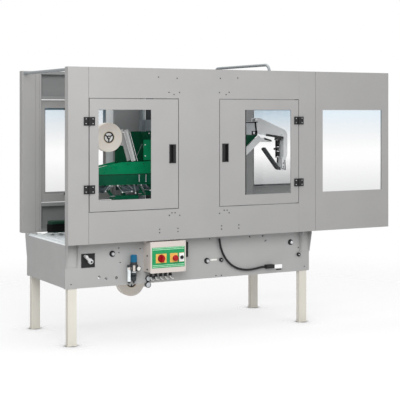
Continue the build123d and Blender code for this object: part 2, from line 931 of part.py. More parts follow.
# Ski that folds the leading flap: a channel that runs level, up under the nose and out to a level lip.
ski_drop = ski_flange / cos(radians(head_slope))
ski_bottom = head_body_bottom - ski_sheet
ski_low_run = (head_nose - ski_drop - ski_bottom) / head_rise
ski_elbow = (head_body_far - ski_low_run, ski_bottom)
ski_crest = (head_body_far, head_nose - ski_drop)
ski_shoulder = (head_body_far + ski_lip_drop * 2, ski_crest[1] + ski_lip_drop * 2 * head_rise)
ski_end = (ski_shoulder[0] + ski_lip_length - ski_lip_drop * 2, ski_shoulder[1] - ski_lip_drop)
with BuildPart() as flap_ski:
    ski_side = ((ski_near, ski_bottom), ski_elbow, ski_shoulder, ski_end,
                (ski_end[0], ski_end[1] + ski_lip_height), (ski_shoulder[0], ski_shoulder[1] + ski_lip_height),
                (head_body_far, head_nose), (head_toe, head_body_bottom), (ski_near, head_body_bottom))
    edge = middle - ski_width / 2
    for depths in ((edge, edge + ski_flange_sheet), (guard_width - edge - ski_flange_sheet, guard_width - edge)):
        slab(ski_side, depths)
    slab(((ski_near, ski_bottom), ski_elbow, ski_shoulder, ski_end, (ski_end[0], ski_end[1] + ski_sheet),
          (ski_shoulder[0] - ski_sheet / 2, ski_shoulder[1] + ski_sheet),
          (ski_elbow[0] - ski_sheet / 2, head_body_bottom), (ski_near, head_body_bottom)),
         (edge, guard_width - edge))
save(flap_ski, "flap_ski")

# Upper tape unit.
shoulder = unit_shoulder
unit_outline = (
    (unit_near, unit_bottom + unit_corner), (unit_near, shoulder[0]), (unit_shoulder_at[0], shoulder[1]),
    (unit_shoulder_at[1], shoulder[2]), (unit_far, shoulder[3]), (unit_far, unit_bottom),
    (unit_near + unit_corner, unit_bottom),
)
cover_outline = (
    (unit_near, unit_seam), (unit_near, shoulder[0]), (unit_shoulder_at[0], shoulder[1]),
    (unit_shoulder_at[1], shoulder[2]), (unit_far, shoulder[3]), (unit_far, unit_seam),
)
with BuildPart() as tape_unit_upper:
    slab(unit_outline, (head_front - unit_sheet, head_front))
    slab(unit_outline, (head_back, head_back + unit_sheet))
    for place in unit_rod_places:
        disc(unit_near + place, unit_seam, unit_rod_radius, (head_front, head_back))
    slab(cover_outline, (head_front - unit_sheet - unit_cover_sheet, head_front - unit_sheet))
save(tape_unit_upper, "tape_unit_upper")

backing_depth = middle + tape_width / 2 + roll_arm_gap + roll_arm_sheet
with BuildPart() as backing_plate:
    slab(((backing_near, backing_bottom), (backing_near, backing_top - backing_corner),
          (backing_near + backing_corner, backing_top),
          (head_body_near, backing_top), (head_body_near, backing_bottom)),
         (backing_depth, backing_depth + backing_sheet))
save(backing_plate, "tape_backing_plate")


def hub(station, height):
    """A spoked hub that fits a tape core, with a bore that runs on a spindle."""
    depths = (middle - tape_width / 2 + hub_recess, middle + tape_width / 2 - hub_recess)
    outer = core_radius - hub_gap
    disc(station, height, outer, depths)
    disc(station, height, outer - hub_rim, depths, mode=Mode.SUBTRACT)
    disc(station, height, hub_boss, depths)
    with BuildSketch(upright(depths[1])) as spokes:
        with Locations((along(station), height)):
            with PolarLocations((outer + hub_boss - hub_rim / 2) / 2, 3, start_angle=30):
                Rectangle(outer - hub_boss, hub_spoke)
    extrude(spokes.sketch, amount=depths[1] - depths[0])
    disc(station, height, spindle_radius + spindle_clearance, depths, mode=Mode.SUBTRACT)


for name, station, height in (("upper", roll_upper_at, roll_upper_height),
                              ("lower", roll_lower_at, roll_lower_height)):
    depths = (middle - tape_width / 2, middle + tape_width / 2)
    with BuildPart() as tape_roll:
        disc(station, height, roll_radius, depths)
        disc(station, height, core_radius, depths, mode=Mode.SUBTRACT)
    save(tape_roll, f"tape_roll_{name}")
    with BuildPart() as tape_hub:
        hub(station, height)
    save(tape_hub, f"tape_hub_{name}")

# Arm and spindle that hold the upper roll.
roll_arm_depths = (backing_depth - roll_arm_sheet, backing_depth)
with BuildPart() as tape_arms:
    with BuildSketch(upright(roll_arm_depths[1])) as arm_face:
        with Locations((along(roll_upper_at + roll_arm_reach / 2), roll_upper_height - roll_arm_fall / 2)):
            SlotCenterToCenter(roll_arm_reach, roll_arm_width,
                               rotation=-degrees(atan2(roll_arm_fall, roll_arm_reach)))
    extrude(arm_face.sketch, amount=roll_arm_sheet)
    disc(roll_upper_at, roll_upper_height, spindle_radius, (middle - tape_width / 2 - spindle_end, backing_depth))
    run = (guide_bar_foot[0] - guide_bar_top[0], guide_bar_foot[1] - guide_bar_top[1])
    length = hypot(*run)
    tilt = degrees(atan2(run[1], run[0]))
    centre = ((guide_bar_foot[0] + guide_bar_top[0]) / 2, (guide_bar_foot[1] + guide_bar_top[1]) / 2)
    for depth in (head_front, backing_depth - guide_bar_thickness):
        with BuildSketch(upright(depth + guide_bar_thickness)) as bar_face:
            with Locations((along(centre[0]), centre[1])):
                Rectangle(length, guide_bar_width, rotation=tilt)
        extrude(bar_face.sketch, amount=guide_bar_thickness)
    pin = guide_pin_drop / hypot(*run)
    disc(guide_bar_top[0] + run[0] * pin, guide_bar_top[1] + run[1] * pin, guide_pin_radius,
         (head_front, backing_depth))
    # Press roller under the unit, on a pair of arms.
    press_height = unit_bottom - press_roller_drop
    for depths in ((head_front, head_front + press_arm_sheet), (head_back - press_arm_sheet, head_back)):
        with BuildSketch(upright(depths[1])) as press_face:
            with Locations((along(press_roller_at + press_arm_run / 2), press_height + press_arm_rise / 2)):
                SlotCenterToCenter(hypot(press_arm_run, press_arm_rise), press_arm_width,
                                   rotation=degrees(atan2(press_arm_rise, press_arm_run)))
        extrude(press_face.sketch, amount=press_arm_sheet)
    disc(press_roller_at, press_height, spindle_radius, (head_front, head_back))
    disc(press_roller_at, press_height, press_roller_radius,
         (middle - press_roller_width / 2, middle + press_roller_width / 2))
    # Wipe roller behind the cut, on arms that lean the other way.
    wipe_height = unit_bottom - wipe_roller_drop
    wipe_rise = press_arm_rise * wipe_arm_run / press_arm_run
    for depths in ((head_front, head_front + press_arm_sheet), (head_back - press_arm_sheet, head_back)):
        with BuildSketch(upright(depths[1])) as wipe_face:
            with Locations((along(wipe_roller_at - wipe_arm_run / 2), wipe_height + wipe_rise / 2)):
                SlotCenterToCenter(hypot(wipe_arm_run, wipe_rise), press_arm_width,
                                   rotation=-degrees(atan2(wipe_rise, wipe_arm_run)))
        extrude(wipe_face.sketch, amount=press_arm_sheet)
    disc(wipe_roller_at, wipe_height, spindle_radius, (head_front, head_back))
    disc(wipe_roller_at, wipe_height, wipe_roller_radius,
         (middle - press_roller_width / 2, middle + press_roller_width / 2))
    # Guard over the knife, a channel hung between the unit's sides.
    guard_low = unit_bottom - knife_guard_drop
    block(knife_guard, (head_front, head_back), (guard_low, guard_low + knife_guard_height))
    block(knife_guard, (head_front + knife_guard_sheet, head_back - knife_guard_sheet),
          (guard_low, guard_low + knife_guard_height - knife_guard_sheet), mode=Mode.SUBTRACT)
    for station in (knife_guard[0] + unit_rod_radius, knife_guard[1] - unit_rod_radius):
        for depths in ((head_front, head_front + knife_guard_sheet), (head_back - knife_guard_sheet, head_back)):
            block((station - unit_rod_radius, station + unit_rod_radius), depths,
                  (guard_low + knife_guard_height, unit_bottom + unit_rod_radius))
save(tape_arms, "tape_mechanism")

# Lower tape unit: rails between the split rollers, with the roll hung below them.
rail_inner = middle - slot_half_width
lower_backing = middle + tape_width / 2 + roll_arm_gap
with BuildPart() as tape_unit_lower:
    for rear in (False, True):
        block((slot_near, slot_far), (rail_inner - slot_rail_sheet, rail_inner),
              (bed_bottom + bed_sheet + crossbar_height, bed_top), rear)
    for place in (slot_near + lower_tie_inset, slot_far - lower_tie_inset):
        disc(place, lower_tie_height, lower_tie_radius, (rail_inner, guard_width - rail_inner))
    plate_near = roll_lower_at - guide_plate_margin[0]
    slab(((plate_near, roll_lower_height - guide_plate_margin[1]), (plate_near, lower_tie_height),
          (guide_plate_far, lower_tie_height), (guide_plate_far, guide_plate_step),
          (guide_roller_places[0][0] + guide_plate_reach[0], guide_roller_places[0][1] - guide_plate_reach[1])),
         (lower_backing, lower_backing + roll_arm_sheet))
    block((plate_near, guide_plate_far), (lower_backing, guard_width - rail_inner),
          (bed_bottom + bed_sheet + crossbar_height + lower_block_gap, lower_tie_height))
    disc(roll_lower_at, roll_lower_height, spindle_radius, (middle - tape_width / 2 - spindle_end, lower_backing))
    for station, height in guide_roller_places:
        disc(station, height, guide_roller_radius,
             (middle - tape_width / 2, middle + tape_width / 2))
        disc(station, height, spindle_radius, (middle, lower_backing))
save(tape_unit_lower, "tape_unit_lower")

# Flap folding arm: a bent box open on its inner side, bolted to the drive box on the housing.
leg_inner = arm_heel[0] - arm_leg_width
tip_near = arm_tip[0] - arm_tip_width / 2
tip_bottom = arm_tip[1] - arm_tip_drop
drive_box_top = head_step + drive_box_height
with BuildPart() as flap_arm:
    block((head_step_at + head_step_drop, head_body_far), (head_front, head_back), (head_step, drive_box_top))
    near_plate = middle - arm_width / 2
    web = (near_plate, guard_width - near_plate)
    plates = ((web[0], web[0] + arm_sheet), (web[1] - arm_sheet, web[1]))
    lap = head_body_far - arm_lap
    outline = ((lap, drive_box_top), (head_body_far, drive_box_top), (head_body_far, arm_crown[1]), arm_crown,
               arm_knee, arm_heel, arm_neck, (arm_tip[0] + arm_tip_width / 2, tip_bottom), (tip_near, tip_bottom),
               (tip_near, arm_neck[1]), (leg_inner, arm_heel[1] - arm_tip_drop), (leg_inner, arm_elbow_height),
               arm_throat, (lap, head_step + arm_root_rise))
    with BuildSketch(mode=Mode.PRIVATE) as arm_side:
        with BuildLine():
            Polyline(*points(*outline), close=True)
        make_face()
        knee = Vector(*points(arm_knee)[0])
        fillet(arm_side.vertices().sort_by_distance(knee)[0], arm_knee_radius)
    for depths in plates:
        with BuildSketch(upright(depths[1])) as plate_face:
            add(arm_side.sketch)
        extrude(plate_face.sketch, amount=arm_sheet)
    with BuildSketch(upright(web[1])) as web_face:
        add(arm_side.sketch)
        add(arm_side.sketch.moved(Location((-arm_sheet, -arm_sheet, 0))), mode=Mode.SUBTRACT)
    extrude(web_face.sketch, amount=arm_width)
    disc(*arm_tip, paddle_pin_radius, web)
save(flap_arm, "flap_arm")

# Air cylinder beside the arm's leg, hung from a lug between the arm's plates.
cylinder_at = leg_inner - cylinder_gap - cylinder_radius
low, neck, collar, high = cylinder_levels
with BuildPart() as flap_cylinder:
    post(cylinder_at, middle, cylinder_radius, (low, neck))
    post(cylinder_at, middle, cylinder_neck_radius, (neck, collar))
    post(cylinder_at, middle, cylinder_radius, (collar, high))
    post(cylinder_at, middle, cylinder_rod_radius, (cylinder_rod_end, low))
    block((cylinder_at - cylinder_lug / 2, cylinder_at + cylinder_lug / 2), (plates[0][1], plates[1][0]),
          (high - cylinder_lug_root, high + cylinder_lug_rise))
save(flap_cylinder, "flap_cylinder")

# Paddle that swings at the arm's tip.
with BuildPart() as flap_paddle:
    with BuildSketch(upright(middle + paddle_width / 2)) as paddle_face:
        with BuildLine() as paddle_line:
            FilletPolyline(*points(paddle_end, paddle_bend, arm_tip), radius=paddle_hook_radius)
        trace(paddle_line.line, paddle_thickness)
        with Locations(points(arm_tip)):
            Circle(paddle_thickness / 2)
        with Locations(points(arm_tip)):
            Circle(paddle_pin_radius + paddle_pin_clearance, mode=Mode.SUBTRACT)
    extrude(paddle_face.sketch, amount=paddle_width)
save(flap_paddle, "flap_paddle")

# Control box with its lid and switch plates.
with BuildPart() as control_box:
    box = ((box_near, box_far), (box_bottom, box_top))
    lid_back = box_lid - box_proud
    block(box[0], (lid_back, bed_side), box[1])
    fillet(control_box.edges().filter_by(Axis.Y), box_radius)
    with BuildPart(mode=Mode.PRIVATE) as lid:
        block((box_near - box_lid_overlap, box_far + box_lid_overlap), (-box_proud, lid_back),
              (box_bottom - box_lid_overlap, box_top + box_lid_overlap))
        fillet(lid.edges().filter_by(Axis.Y), box_radius)
    add(lid.part)
    for place, radius in ((stop_at, stop_stem_radius), (start_at, start_radius)):
        disc(place, switch_row, radius + button_clearance, (-box_proud, button_hole - box_proud),
             mode=Mode.SUBTRACT)
save(control_box, "control_box")

plate_depths = (-box_proud - plate_thickness, -box_proud)
plate_heights = (switch_row - plate_height / 2, switch_row + plate_height / 2)
with BuildPart() as switch_plates:
    for place, width in ((main_switch_at, main_plate_width), (stop_at, stop_plate_width),
                         (start_at, start_plate_width)):
        block((place - width / 2, place + width / 2), plate_depths, plate_heights)
    for place, radius in ((main_switch_at, main_boss_radius), (stop_at, stop_stem_radius + button_rim),
                          (start_at, start_radius + button_rim)):
        disc(place, switch_row, radius, (plate_depths[0] - boss_height, plate_depths[0]))
    for place, radius in ((stop_at, stop_stem_radius), (start_at, start_radius)):
        disc(place, switch_row, radius + button_clearance, (plate_depths[0] - boss_height, -box_proud),
             mode=Mode.SUBTRACT)
save(switch_plates, "switch_plates")

knob_back = plate_depths[0] - boss_height - button_clearance
knob_skirt = knob_back - main_knob_skirt
grip_half = main_knob_radius - main_grip_margin
with BuildPart() as main_switch:
    disc(main_switch_at, switch_row, main_knob_radius, (knob_skirt, knob_back))
    disc(main_switch_at, switch_row, main_knob_radius - main_knob_taper, (knob_skirt - main_knob_step, knob_skirt))
    block((main_switch_at - main_grip / 2, main_switch_at + main_grip / 2),
          (knob_back - main_knob_height, knob_skirt), (switch_row - grip_half, switch_row + grip_half))
save(main_switch, "main_switch")

with BuildPart() as stop_button:
    stem_back = button_seat - box_proud
    cap_front = plate_depths[0] - stop_height
    disc(stop_at, switch_row, stop_stem_radius, (cap_front + stop_cap, stem_back))
    disc(stop_at, switch_row, stop_radius, (cap_front, cap_front + stop_cap))
    fillet(stop_button.faces().sort_by(Axis.Y)[0].edges(), stop_cap / 2)
save(stop_button, "stop_button")

with BuildPart() as start_button:
    disc(start_at, switch_row, start_radius, (plate_depths[0] - start_height, stem_back))
    fillet(start_button.faces().sort_by(Axis.Y)[0].edges(), start_round)
save(start_button, "start_button")

# Black fittings: glands under the box and the elbow box at the end of the conduit.
with BuildPart() as cable_fittings:
    for place in gland_places:
        post(place, bed_side - gland_stand, gland_radius,
             (box_bottom - box_lid_overlap - gland_length, box_bottom))
    block(conduit_box, (bed_side - conduit_box_depth, bed_side), conduit_box_height)
    fillet(cable_fittings.edges().filter_by(Axis.X).group_by(Axis.Y)[0], conduit_box_radius)
save(cable_fittings, "cable_fittings")

# Air service unit: a turned regulator and filter, a gauge in front and a bracket to the bed.
air_depth = bed_side - air_stand


def turned(station, outline):
    """A piece turned about an upright axis from (radius, height) pairs, closed along the axis."""
    centre = (along(station), across(air_depth), 0)
    with BuildSketch(Plane(origin=centre, x_dir=(1, 0, 0), z_dir=(0, -1, 0))) as half:
        with BuildLine():
            Polyline((0, outline[0][1]), *outline, (0, outline[-1][1]), close=True)
        make_face()
    revolve(half.sketch, Axis(centre, (0, 0, 1)))


drain, bowl_low, bowl_high, block_top, collar_top, knob_top = air_levels
with BuildPart() as air_unit:
    half = air_block / 2
    block((air_at - half, air_at + half), (air_depth - half, air_depth + half), (bowl_high, block_top))
    fillet(air_unit.edges().filter_by(Axis.Z), air_block_radius)
    turned(air_at, ((air_drain_radius, drain), (air_drain_radius, bowl_low),
                    (air_bowl_radius - air_drain_radius, bowl_low),
                    (air_bowl_radius, bowl_low + air_bowl_shoulder), (air_bowl_radius, bowl_high)))
    turned(air_at, ((air_knob_radius + air_collar, block_top), (air_knob_radius + air_collar, collar_top)))
    tail, cup_low, cup_high, head_top = filter_levels
    turned(filter_at, ((air_drain_radius, tail), (filter_radius, cup_low), (filter_radius, cup_high),
                       (filter_head_radius, cup_high), (filter_head_radius, head_top)))
    bridge = (air_depth - air_foot[0] / 2, air_depth + air_foot[0] / 2)
    block((filter_at, air_at), bridge, (cup_high, head_top - air_collar))
    disc(gauge_at, gauge_height, gauge_radius, (bed_side - gauge_stand, bed_side - gauge_stand + gauge_thickness))
    disc(gauge_at, gauge_height, gauge_stem_radius, (bed_side - gauge_stand, air_depth))
    with BuildSketch(Plane(origin=(along(air_at), across(air_depth), gauge_height), z_dir=(1, 0, 0))) as port:
        Circle(air_port_radius)
    extrude(port.sketch, amount=half + air_port_length)
    block((air_at - air_foot[0] / 2, air_at + air_foot[0] / 2), (air_depth, bed_side),
          (block_top - air_foot[1] - air_block_radius, block_top - air_block_radius))
save(air_unit, "air_service_unit")

with BuildPart() as air_knob:
    post(air_at, air_depth, air_knob_radius, (collar_top + button_clearance, knob_top))
    chamfer(air_knob.faces().sort_by(Axis.Z)[-1].edges(), air_knob_chamfer)
save(air_knob, "air_knob")

# Hand crank on its plate.
with BuildPart() as crank_base:
    block(crank_plate, (bed_side - crank_plate_thickness, bed_side), crank_plate_height)
    plate_front = bed_side - crank_plate_thickness
    disc(*crank_hub, crank_boss_radius, (plate_front - crank_boss_height, bed_side))
    disc(*crank_hub, crank_stub_radius, (plate_front - crank_stub_height, bed_side))
save(crank_base, "crank_plate")

with BuildPart() as crank:
    crank_back = plate_front - crank_boss_height - crank_gap
    crank_front = crank_back - crank_arm_thickness
    reach = hypot(*crank_throw)
    with BuildSketch(upright(crank_back)) as crank_face:
        with Locations((along(crank_hub[0] + crank_throw[0] / 2), crank_hub[1] + crank_throw[1] / 2)):
            SlotCenterToCenter(reach, crank_arm_width, rotation=degrees(atan2(crank_throw[1], crank_throw[0])))
        with Locations((along(crank_hub[0]), crank_hub[1])):
            Circle(crank_eye_radius)
            Circle(crank_stub_radius + crank_stub_clearance, mode=Mode.SUBTRACT)
    extrude(crank_face.sketch, amount=crank_arm_thickness)
    disc(crank_hub[0] + crank_throw[0], crank_hub[1] + crank_throw[1], crank_knob_radius,
         (crank_front - crank_knob_length, crank_front))
save(crank, "crank")

# Conduit: straight runs joined by tangent arcs as large as the runs allow.
route = [Vector(along(station), across(bed_side - conduit_stand), height) for station, height in conduit_route]
runs = [(b - a) for a, b in zip(route, route[1:])]
turns = [radians(a.get_angle(b)) for a, b in zip(runs, runs[1:])]
radii = [0.45 * min(a.length, b.length) / tan(t / 2) for a, b, t in zip(runs, runs[1:], turns)]
print("conduit radii", [round(r) for r in radii], "runs", [round(run.length) for run in runs])
with BuildPart() as conduit:
    with BuildLine() as conduit_line:
        FilletPolyline(*route, radius=radii)
    with BuildSketch(Plane(origin=route[0], z_dir=runs[0])) as section:
        Circle(conduit_radius)
    sweep(section.sketch, path=conduit_line.wires()[0])
print("conduit length", round(conduit_line.wires()[0].length), "volume ratio",
      round(conduit.part.volume / (conduit_line.wires()[0].length * pi * conduit_radius ** 2), 4))
save(conduit, "conduit")
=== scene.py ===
"""Dresses a packed carton sealer: finishes for every part, small fittings and a plain stage.

All coordinates are metres in the part's own frame: +X runs from the outfeed end to the infeed end,
+Y from the operator's side to the rear, and +Z is up.  A place is usually given as a station along
the guard wall, a depth inwards from the wall's outer face and a height above the floor, in millimetres.
"""
import math

import bmesh
import bpy
import numpy as np
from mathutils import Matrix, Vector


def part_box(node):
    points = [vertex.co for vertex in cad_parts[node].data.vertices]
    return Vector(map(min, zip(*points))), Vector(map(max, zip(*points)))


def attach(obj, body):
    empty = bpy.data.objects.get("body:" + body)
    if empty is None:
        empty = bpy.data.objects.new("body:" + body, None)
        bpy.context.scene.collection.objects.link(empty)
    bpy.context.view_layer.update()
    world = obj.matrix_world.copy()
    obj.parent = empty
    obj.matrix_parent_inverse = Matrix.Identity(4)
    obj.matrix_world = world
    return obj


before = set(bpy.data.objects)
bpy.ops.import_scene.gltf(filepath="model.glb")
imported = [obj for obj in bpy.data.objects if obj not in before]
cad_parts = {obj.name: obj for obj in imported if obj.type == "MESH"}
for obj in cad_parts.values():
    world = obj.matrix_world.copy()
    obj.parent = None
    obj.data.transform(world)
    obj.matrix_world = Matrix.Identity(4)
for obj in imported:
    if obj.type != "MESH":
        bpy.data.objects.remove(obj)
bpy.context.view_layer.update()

bl_info = {
    "name": "Carton sealer dressing",
    "version": (1, 0, 0),
    "blender": (4, 5, 0),
    "location": "View3D > Sidebar > Sealer",
    "description": "Finishes, fasteners and a stage for a guarded carton sealer",
    "category": "Object",
}

MM = 0.001
FRONT = (0.0, -1.0, 0.0)
BACK = (0.0, 1.0, 0.0)
LEFT = (-1.0, 0.0, 0.0)
UP = (0.0, 0.0, 1.0)
DOWN = (0.0, 0.0, -1.0)
ORIGIN = (0.0, 0.0, 0.0)
SIDES = (("front", FRONT, False), ("rear", BACK, True))     # name, outward direction, rear wall

WALL_LOW, WALL_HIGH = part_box("guard_uprights")
BED_DEPTH = (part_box("bed_sides")[0].y - WALL_LOW.y) / MM
POST_WIDTH = 141.0          # outfeed post, up to the inner face of its seam
SKIN = 1.5                  # depth under which a wall's face counts as its inner one


def spot(station, depth, height, rear=False):
    """A point from its station, its depth from the outer face of a wall, and its height, all in mm."""
    y = WALL_HIGH.y - depth * MM if rear else WALL_LOW.y + depth * MM
    return np.array((WALL_LOW.x + station * MM, y, height * MM))


# Settings
def paint(label, text, value):
    """A colour setting, as an sRGB hex value."""
    return bpy.props.StringProperty(name=label, description=text, default=value)


def measure(label, text, value, low, high):
    """A length setting, given in mm and kept in metres."""
    return bpy.props.FloatProperty(
        name=label, description=text, default=value * MM, min=low * MM, max=high * MM,
        subtype="DISTANCE", unit="LENGTH")


class SealerColours(bpy.types.PropertyGroup):
    """Colours of the painted and moulded parts."""

    guard: paint("Guard", "Powder coat on walls and doors", "#A5A4A3")
    bed: paint("Bed", "Powder coat on the bed", "#AFAFAE")
    legs: paint("Legs", "Powder coat on the legs", "#E4E0D5")
    head: paint("Head", "Enamel on the tape units", "#068457")
    housing: paint("Housing", "Enamel on the head housing", "#02442C")
    box: paint("Control box", "Enamel on the control box", "#D8CFC8")
    overlay: paint("Overlay", "Printed front of the box", "#229A5F")
    stripe: paint("Stripe", "Pale bands on the overlay", "#B6EDC6")
    warning: paint("Plates", "Plates behind the switches", "#F9C063")
    red: paint("Red", "Switch knob and stop button", "#A61019")
    regulator: paint("Regulator", "Knob of the regulator", "#0D678E")
    tape: paint("Tape", "Side of a roll of tape", "#F9F1E7")


class SealerSizes(bpy.types.PropertyGroup):
    """Sizes of the small fittings."""

    screw_radius: measure("Screw head radius", "Radius of the panel screws' heads", 4.2, 1, 12)
    screw_height: measure("Screw head height", "Height of the panel screws' heads", 2.2, 0.5, 8)
    ring_radius: measure("Ring radius", "Outer radius of the grommets in the bed's side", 20, 5, 40)


def colours():
    """The colour settings of the scene."""
    return bpy.context.scene.sealer_colours


def sizes():
    """The size settings of the scene."""
    return bpy.context.scene.sealer_sizes


# Shader helpers
def linear(hex_colour):
    """An sRGB hex colour as a linear RGBA tuple."""
    values = [int(hex_colour[i:i + 2], 16) / 255 for i in (1, 3, 5)]
    return tuple(v / 12.92 if v <= 0.04045 else ((v + 0.055) / 1.055) ** 2.4 for v in values) + (1.0,)


def configure(tree, node, settings):
    """Set a node's properties by name, and set its inputs, or link them where a socket is given."""
    for key, value in settings.items():
        if not isinstance(key, int) and key not in node.inputs:
            setattr(node, key, value)
        elif isinstance(value, bpy.types.NodeSocket):
            tree.links.new(value, node.inputs[key])
        else:
            node.inputs[key].default_value = value
    return node


def add_node(tree, kind, settings=None):
    """A new shader node with its settings."""
    return configure(tree, tree.nodes.new(kind), settings or {})


def maths(tree, operation, *operands):
    """The result of a Math node, whose operands are sockets or numbers."""
    settings = {"operation": operation, **dict(enumerate(operands))}
    return add_node(tree, "ShaderNodeMath", settings).outputs["Value"]


def split(tree, vector):
    """The X, Y and Z sockets of a vector."""
    return add_node(tree, "ShaderNodeSeparateXYZ", {"Vector": vector}).outputs


def distance(tree, vector):
    """The length of a vector."""
    return add_node(tree, "ShaderNodeVectorMath", {"operation": "LENGTH", 0: vector}).outputs["Value"]


def mixed(tree, factor, first, second, blend="MIX"):
    """Two colours, as tuples or sockets, blended by a factor."""
    return add_node(tree, "ShaderNodeMix", {"data_type": "RGBA", "blend_type": blend,
                                            0: factor, 6: first, 7: second}).outputs[2]


def ramp(tree, value, start, end, low=0.0, high=1.0, curve="LINEAR"):
    """A value mapped from the span start to end onto the span low to high, and kept within it."""
    return add_node(tree, "ShaderNodeMapRange", {
        "interpolation_type": curve, "Value": value, "From Min": start, "From Max": end,
        "To Min": low, "To Max": high}).outputs["Result"]


def spread(tree, value, low, high):
    """Map a noise value from its usual span to the span from low to high."""
    return ramp(tree, value, 0.3, 0.7, low, high)


def noise(tree, place, grain, detail=3.0, stretch=(1, 1, 1)):
    """Noise whose features are about one grain across, in millimetres, stretched per axis."""
    mapped = add_node(tree, "ShaderNodeMapping",
                      {"Scale": tuple(s / (grain * MM) for s in stretch), "Vector": place})
    return add_node(tree, "ShaderNodeTexNoise", {
        "Scale": 1.0, "Detail": detail, "Vector": mapped.outputs["Vector"]}).outputs["Fac"]


def tinted(tree, hex_colour, value, darker=0.92, lighter=1.05):
    """The colour, varied between a darker and a lighter shade of itself by a value from 0 to 1."""
    base = linear(hex_colour)[:3]
    return mixed(tree, value, *(tuple(min(1.0, c * factor) for c in base) + (1.0,)
                                for factor in (darker, lighter)))


def relief(tree, value, depth):
    """The normal of a surface that a value from 0 to 1 raises over a depth in millimetres."""
    return add_node(tree, "ShaderNodeBump", {
        "Strength": 1.0, "Distance": depth * MM, "Height": value}).outputs["Normal"]


def new_material(name):
    """A material with an empty tree, its Principled shader and its Object coordinates."""
    material = bpy.data.materials.new(name)
    material.use_nodes = True
    tree = material.node_tree
    tree.nodes.clear()
    shader = add_node(tree, "ShaderNodeBsdfPrincipled")
    add_node(tree, "ShaderNodeOutputMaterial", {"Surface": shader.outputs["BSDF"]})
    place = add_node(tree, "ShaderNodeTexCoord").outputs["Object"]
    return material, tree, shader, place


# Materials
# Below this height the mechanism's metal takes a painted shade.
SHADED_BELOW = 1.009         # m, the upper tape unit's bottom edge


def inner_shade_mask(tree, place):
    """1 on the inner faces of the guard, where a painted shade darkens the coat: a point is inside
    if it lies between the walls' outer faces and beyond the outfeed post."""
    parts = split(tree, place)
    middle, half = (WALL_LOW.y + WALL_HIGH.y) / 2, (WALL_HIGH.y - WALL_LOW.y) / 2
    away = maths(tree, "ABSOLUTE", maths(tree, "SUBTRACT", parts["Y"], middle))
    within = maths(tree, "LESS_THAN", away, half - SKIN * MM)
    return maths(tree, "MULTIPLY", within,
                 maths(tree, "GREATER_THAN", parts["X"], WALL_LOW.x + POST_WIDTH * MM))


def under_unit_shade_mask(tree, place):
    """1 under the upper tape unit, where a painted shade darkens the arms and rollers."""
    return maths(tree, "LESS_THAN", split(tree, place)["Z"], SHADED_BELOW)


def surface(name, hex_colour, roughness, cloud, gloss, bump, sockets, shade=None):
    """A material on three noises, each given as (grain, detail, stretch): the cloud varies the colour
    between two factors, the gloss varies the roughness by two steps, and the bump raises the surface
    by a depth.  A shade is a mask and the colour of a painted shade, which multiplies the surface
    where the mask is 1."""
    material, tree, shader, place = new_material(name)
    (cloud_noise, darker, lighter), (gloss_noise, less, more), (bump_noise, depth) = cloud, gloss, bump
    clouds = spread(tree, noise(tree, place, *cloud_noise), 0, 1)
    colour = tinted(tree, hex_colour, clouds, darker, lighter)
    if shade:
        mask, shade_colour = shade
        colour = mixed(tree, mask(tree, place), colour, linear(shade_colour), "MULTIPLY")
    configure(tree, shader, {
        "Base Color": colour, **sockets,
        "Roughness": spread(tree, noise(tree, place, *gloss_noise), roughness + less, roughness + more),
        "Normal": relief(tree, noise(tree, place, *bump_noise), depth)})
    return material


def powder_coat(name, hex_colour, roughness=0.42, grain=1.6, peel=0.02, shade=None):
    """Powder-coated sheet: baked polyester powder, an even satin with a fine orange peel."""
    return surface(name, hex_colour, roughness, ((260, 4), 0.965, 1.02), ((40,), -0.05, 0.06),
                   ((grain,), peel), {"IOR": 1.5}, shade)


def enamel(name, hex_colour, roughness=0.3):
    """Sprayed enamel: glossier than powder coat, with a slow flow and a few dull patches."""
    return surface(name, hex_colour, roughness, ((120,), 0.9, 1.08), ((55, 5), -0.06, 0.1),
                   ((9.0,), 0.03), {"IOR": 1.52, "Specular IOR Level": 0.22})


def moulded(name, hex_colour, roughness=0.5, grain=0.9, depth=0.03):
    """Moulded plastic: spark-eroded texture from the tool, slightly uneven in gloss."""
    return surface(name, hex_colour, roughness, ((18,), 0.88, 1.1), ((7,), -0.06, 0.08),
                   ((grain,), depth), {"IOR": 1.46, "Specular IOR Level": 0.3})


def brushed_metal(name, hex_colour, roughness, stretch, metal=1.0, shade=None):
    """Brushed or drawn metal: fine scratches along one axis that stretch the highlights."""
    scratches = (1.2, 6, stretch)
    return surface(name, hex_colour, roughness, (scratches, 0.86, 1.06), (scratches, -0.07, 0.08),
                   (scratches, 0.012), {"Metallic": metal}, shade)


def zinc_plate(name, hex_colour, roughness=0.3, metal=1.0):
    """Bright zinc plating on turned steel: pale metal with faint cloudy passivation."""
    return surface(name, hex_colour, roughness, ((30, 5), 0.88, 1.05), ((12,), -0.06, 0.1),
                   ((2.5,), 0.008), {"Metallic": metal})


PANE_FOOT, PANE_MIDDLE, PANE_TOP = 0.94, 1.24, 1.53         # heights of a window, in m
REFLECTION_GAP = 0.07            # m, from the painted blue reflection's foot down to the painted grey reflection's top
MIDDLE_STEP = 0.001         # m, over which the operator's half of the machine meets the rear half


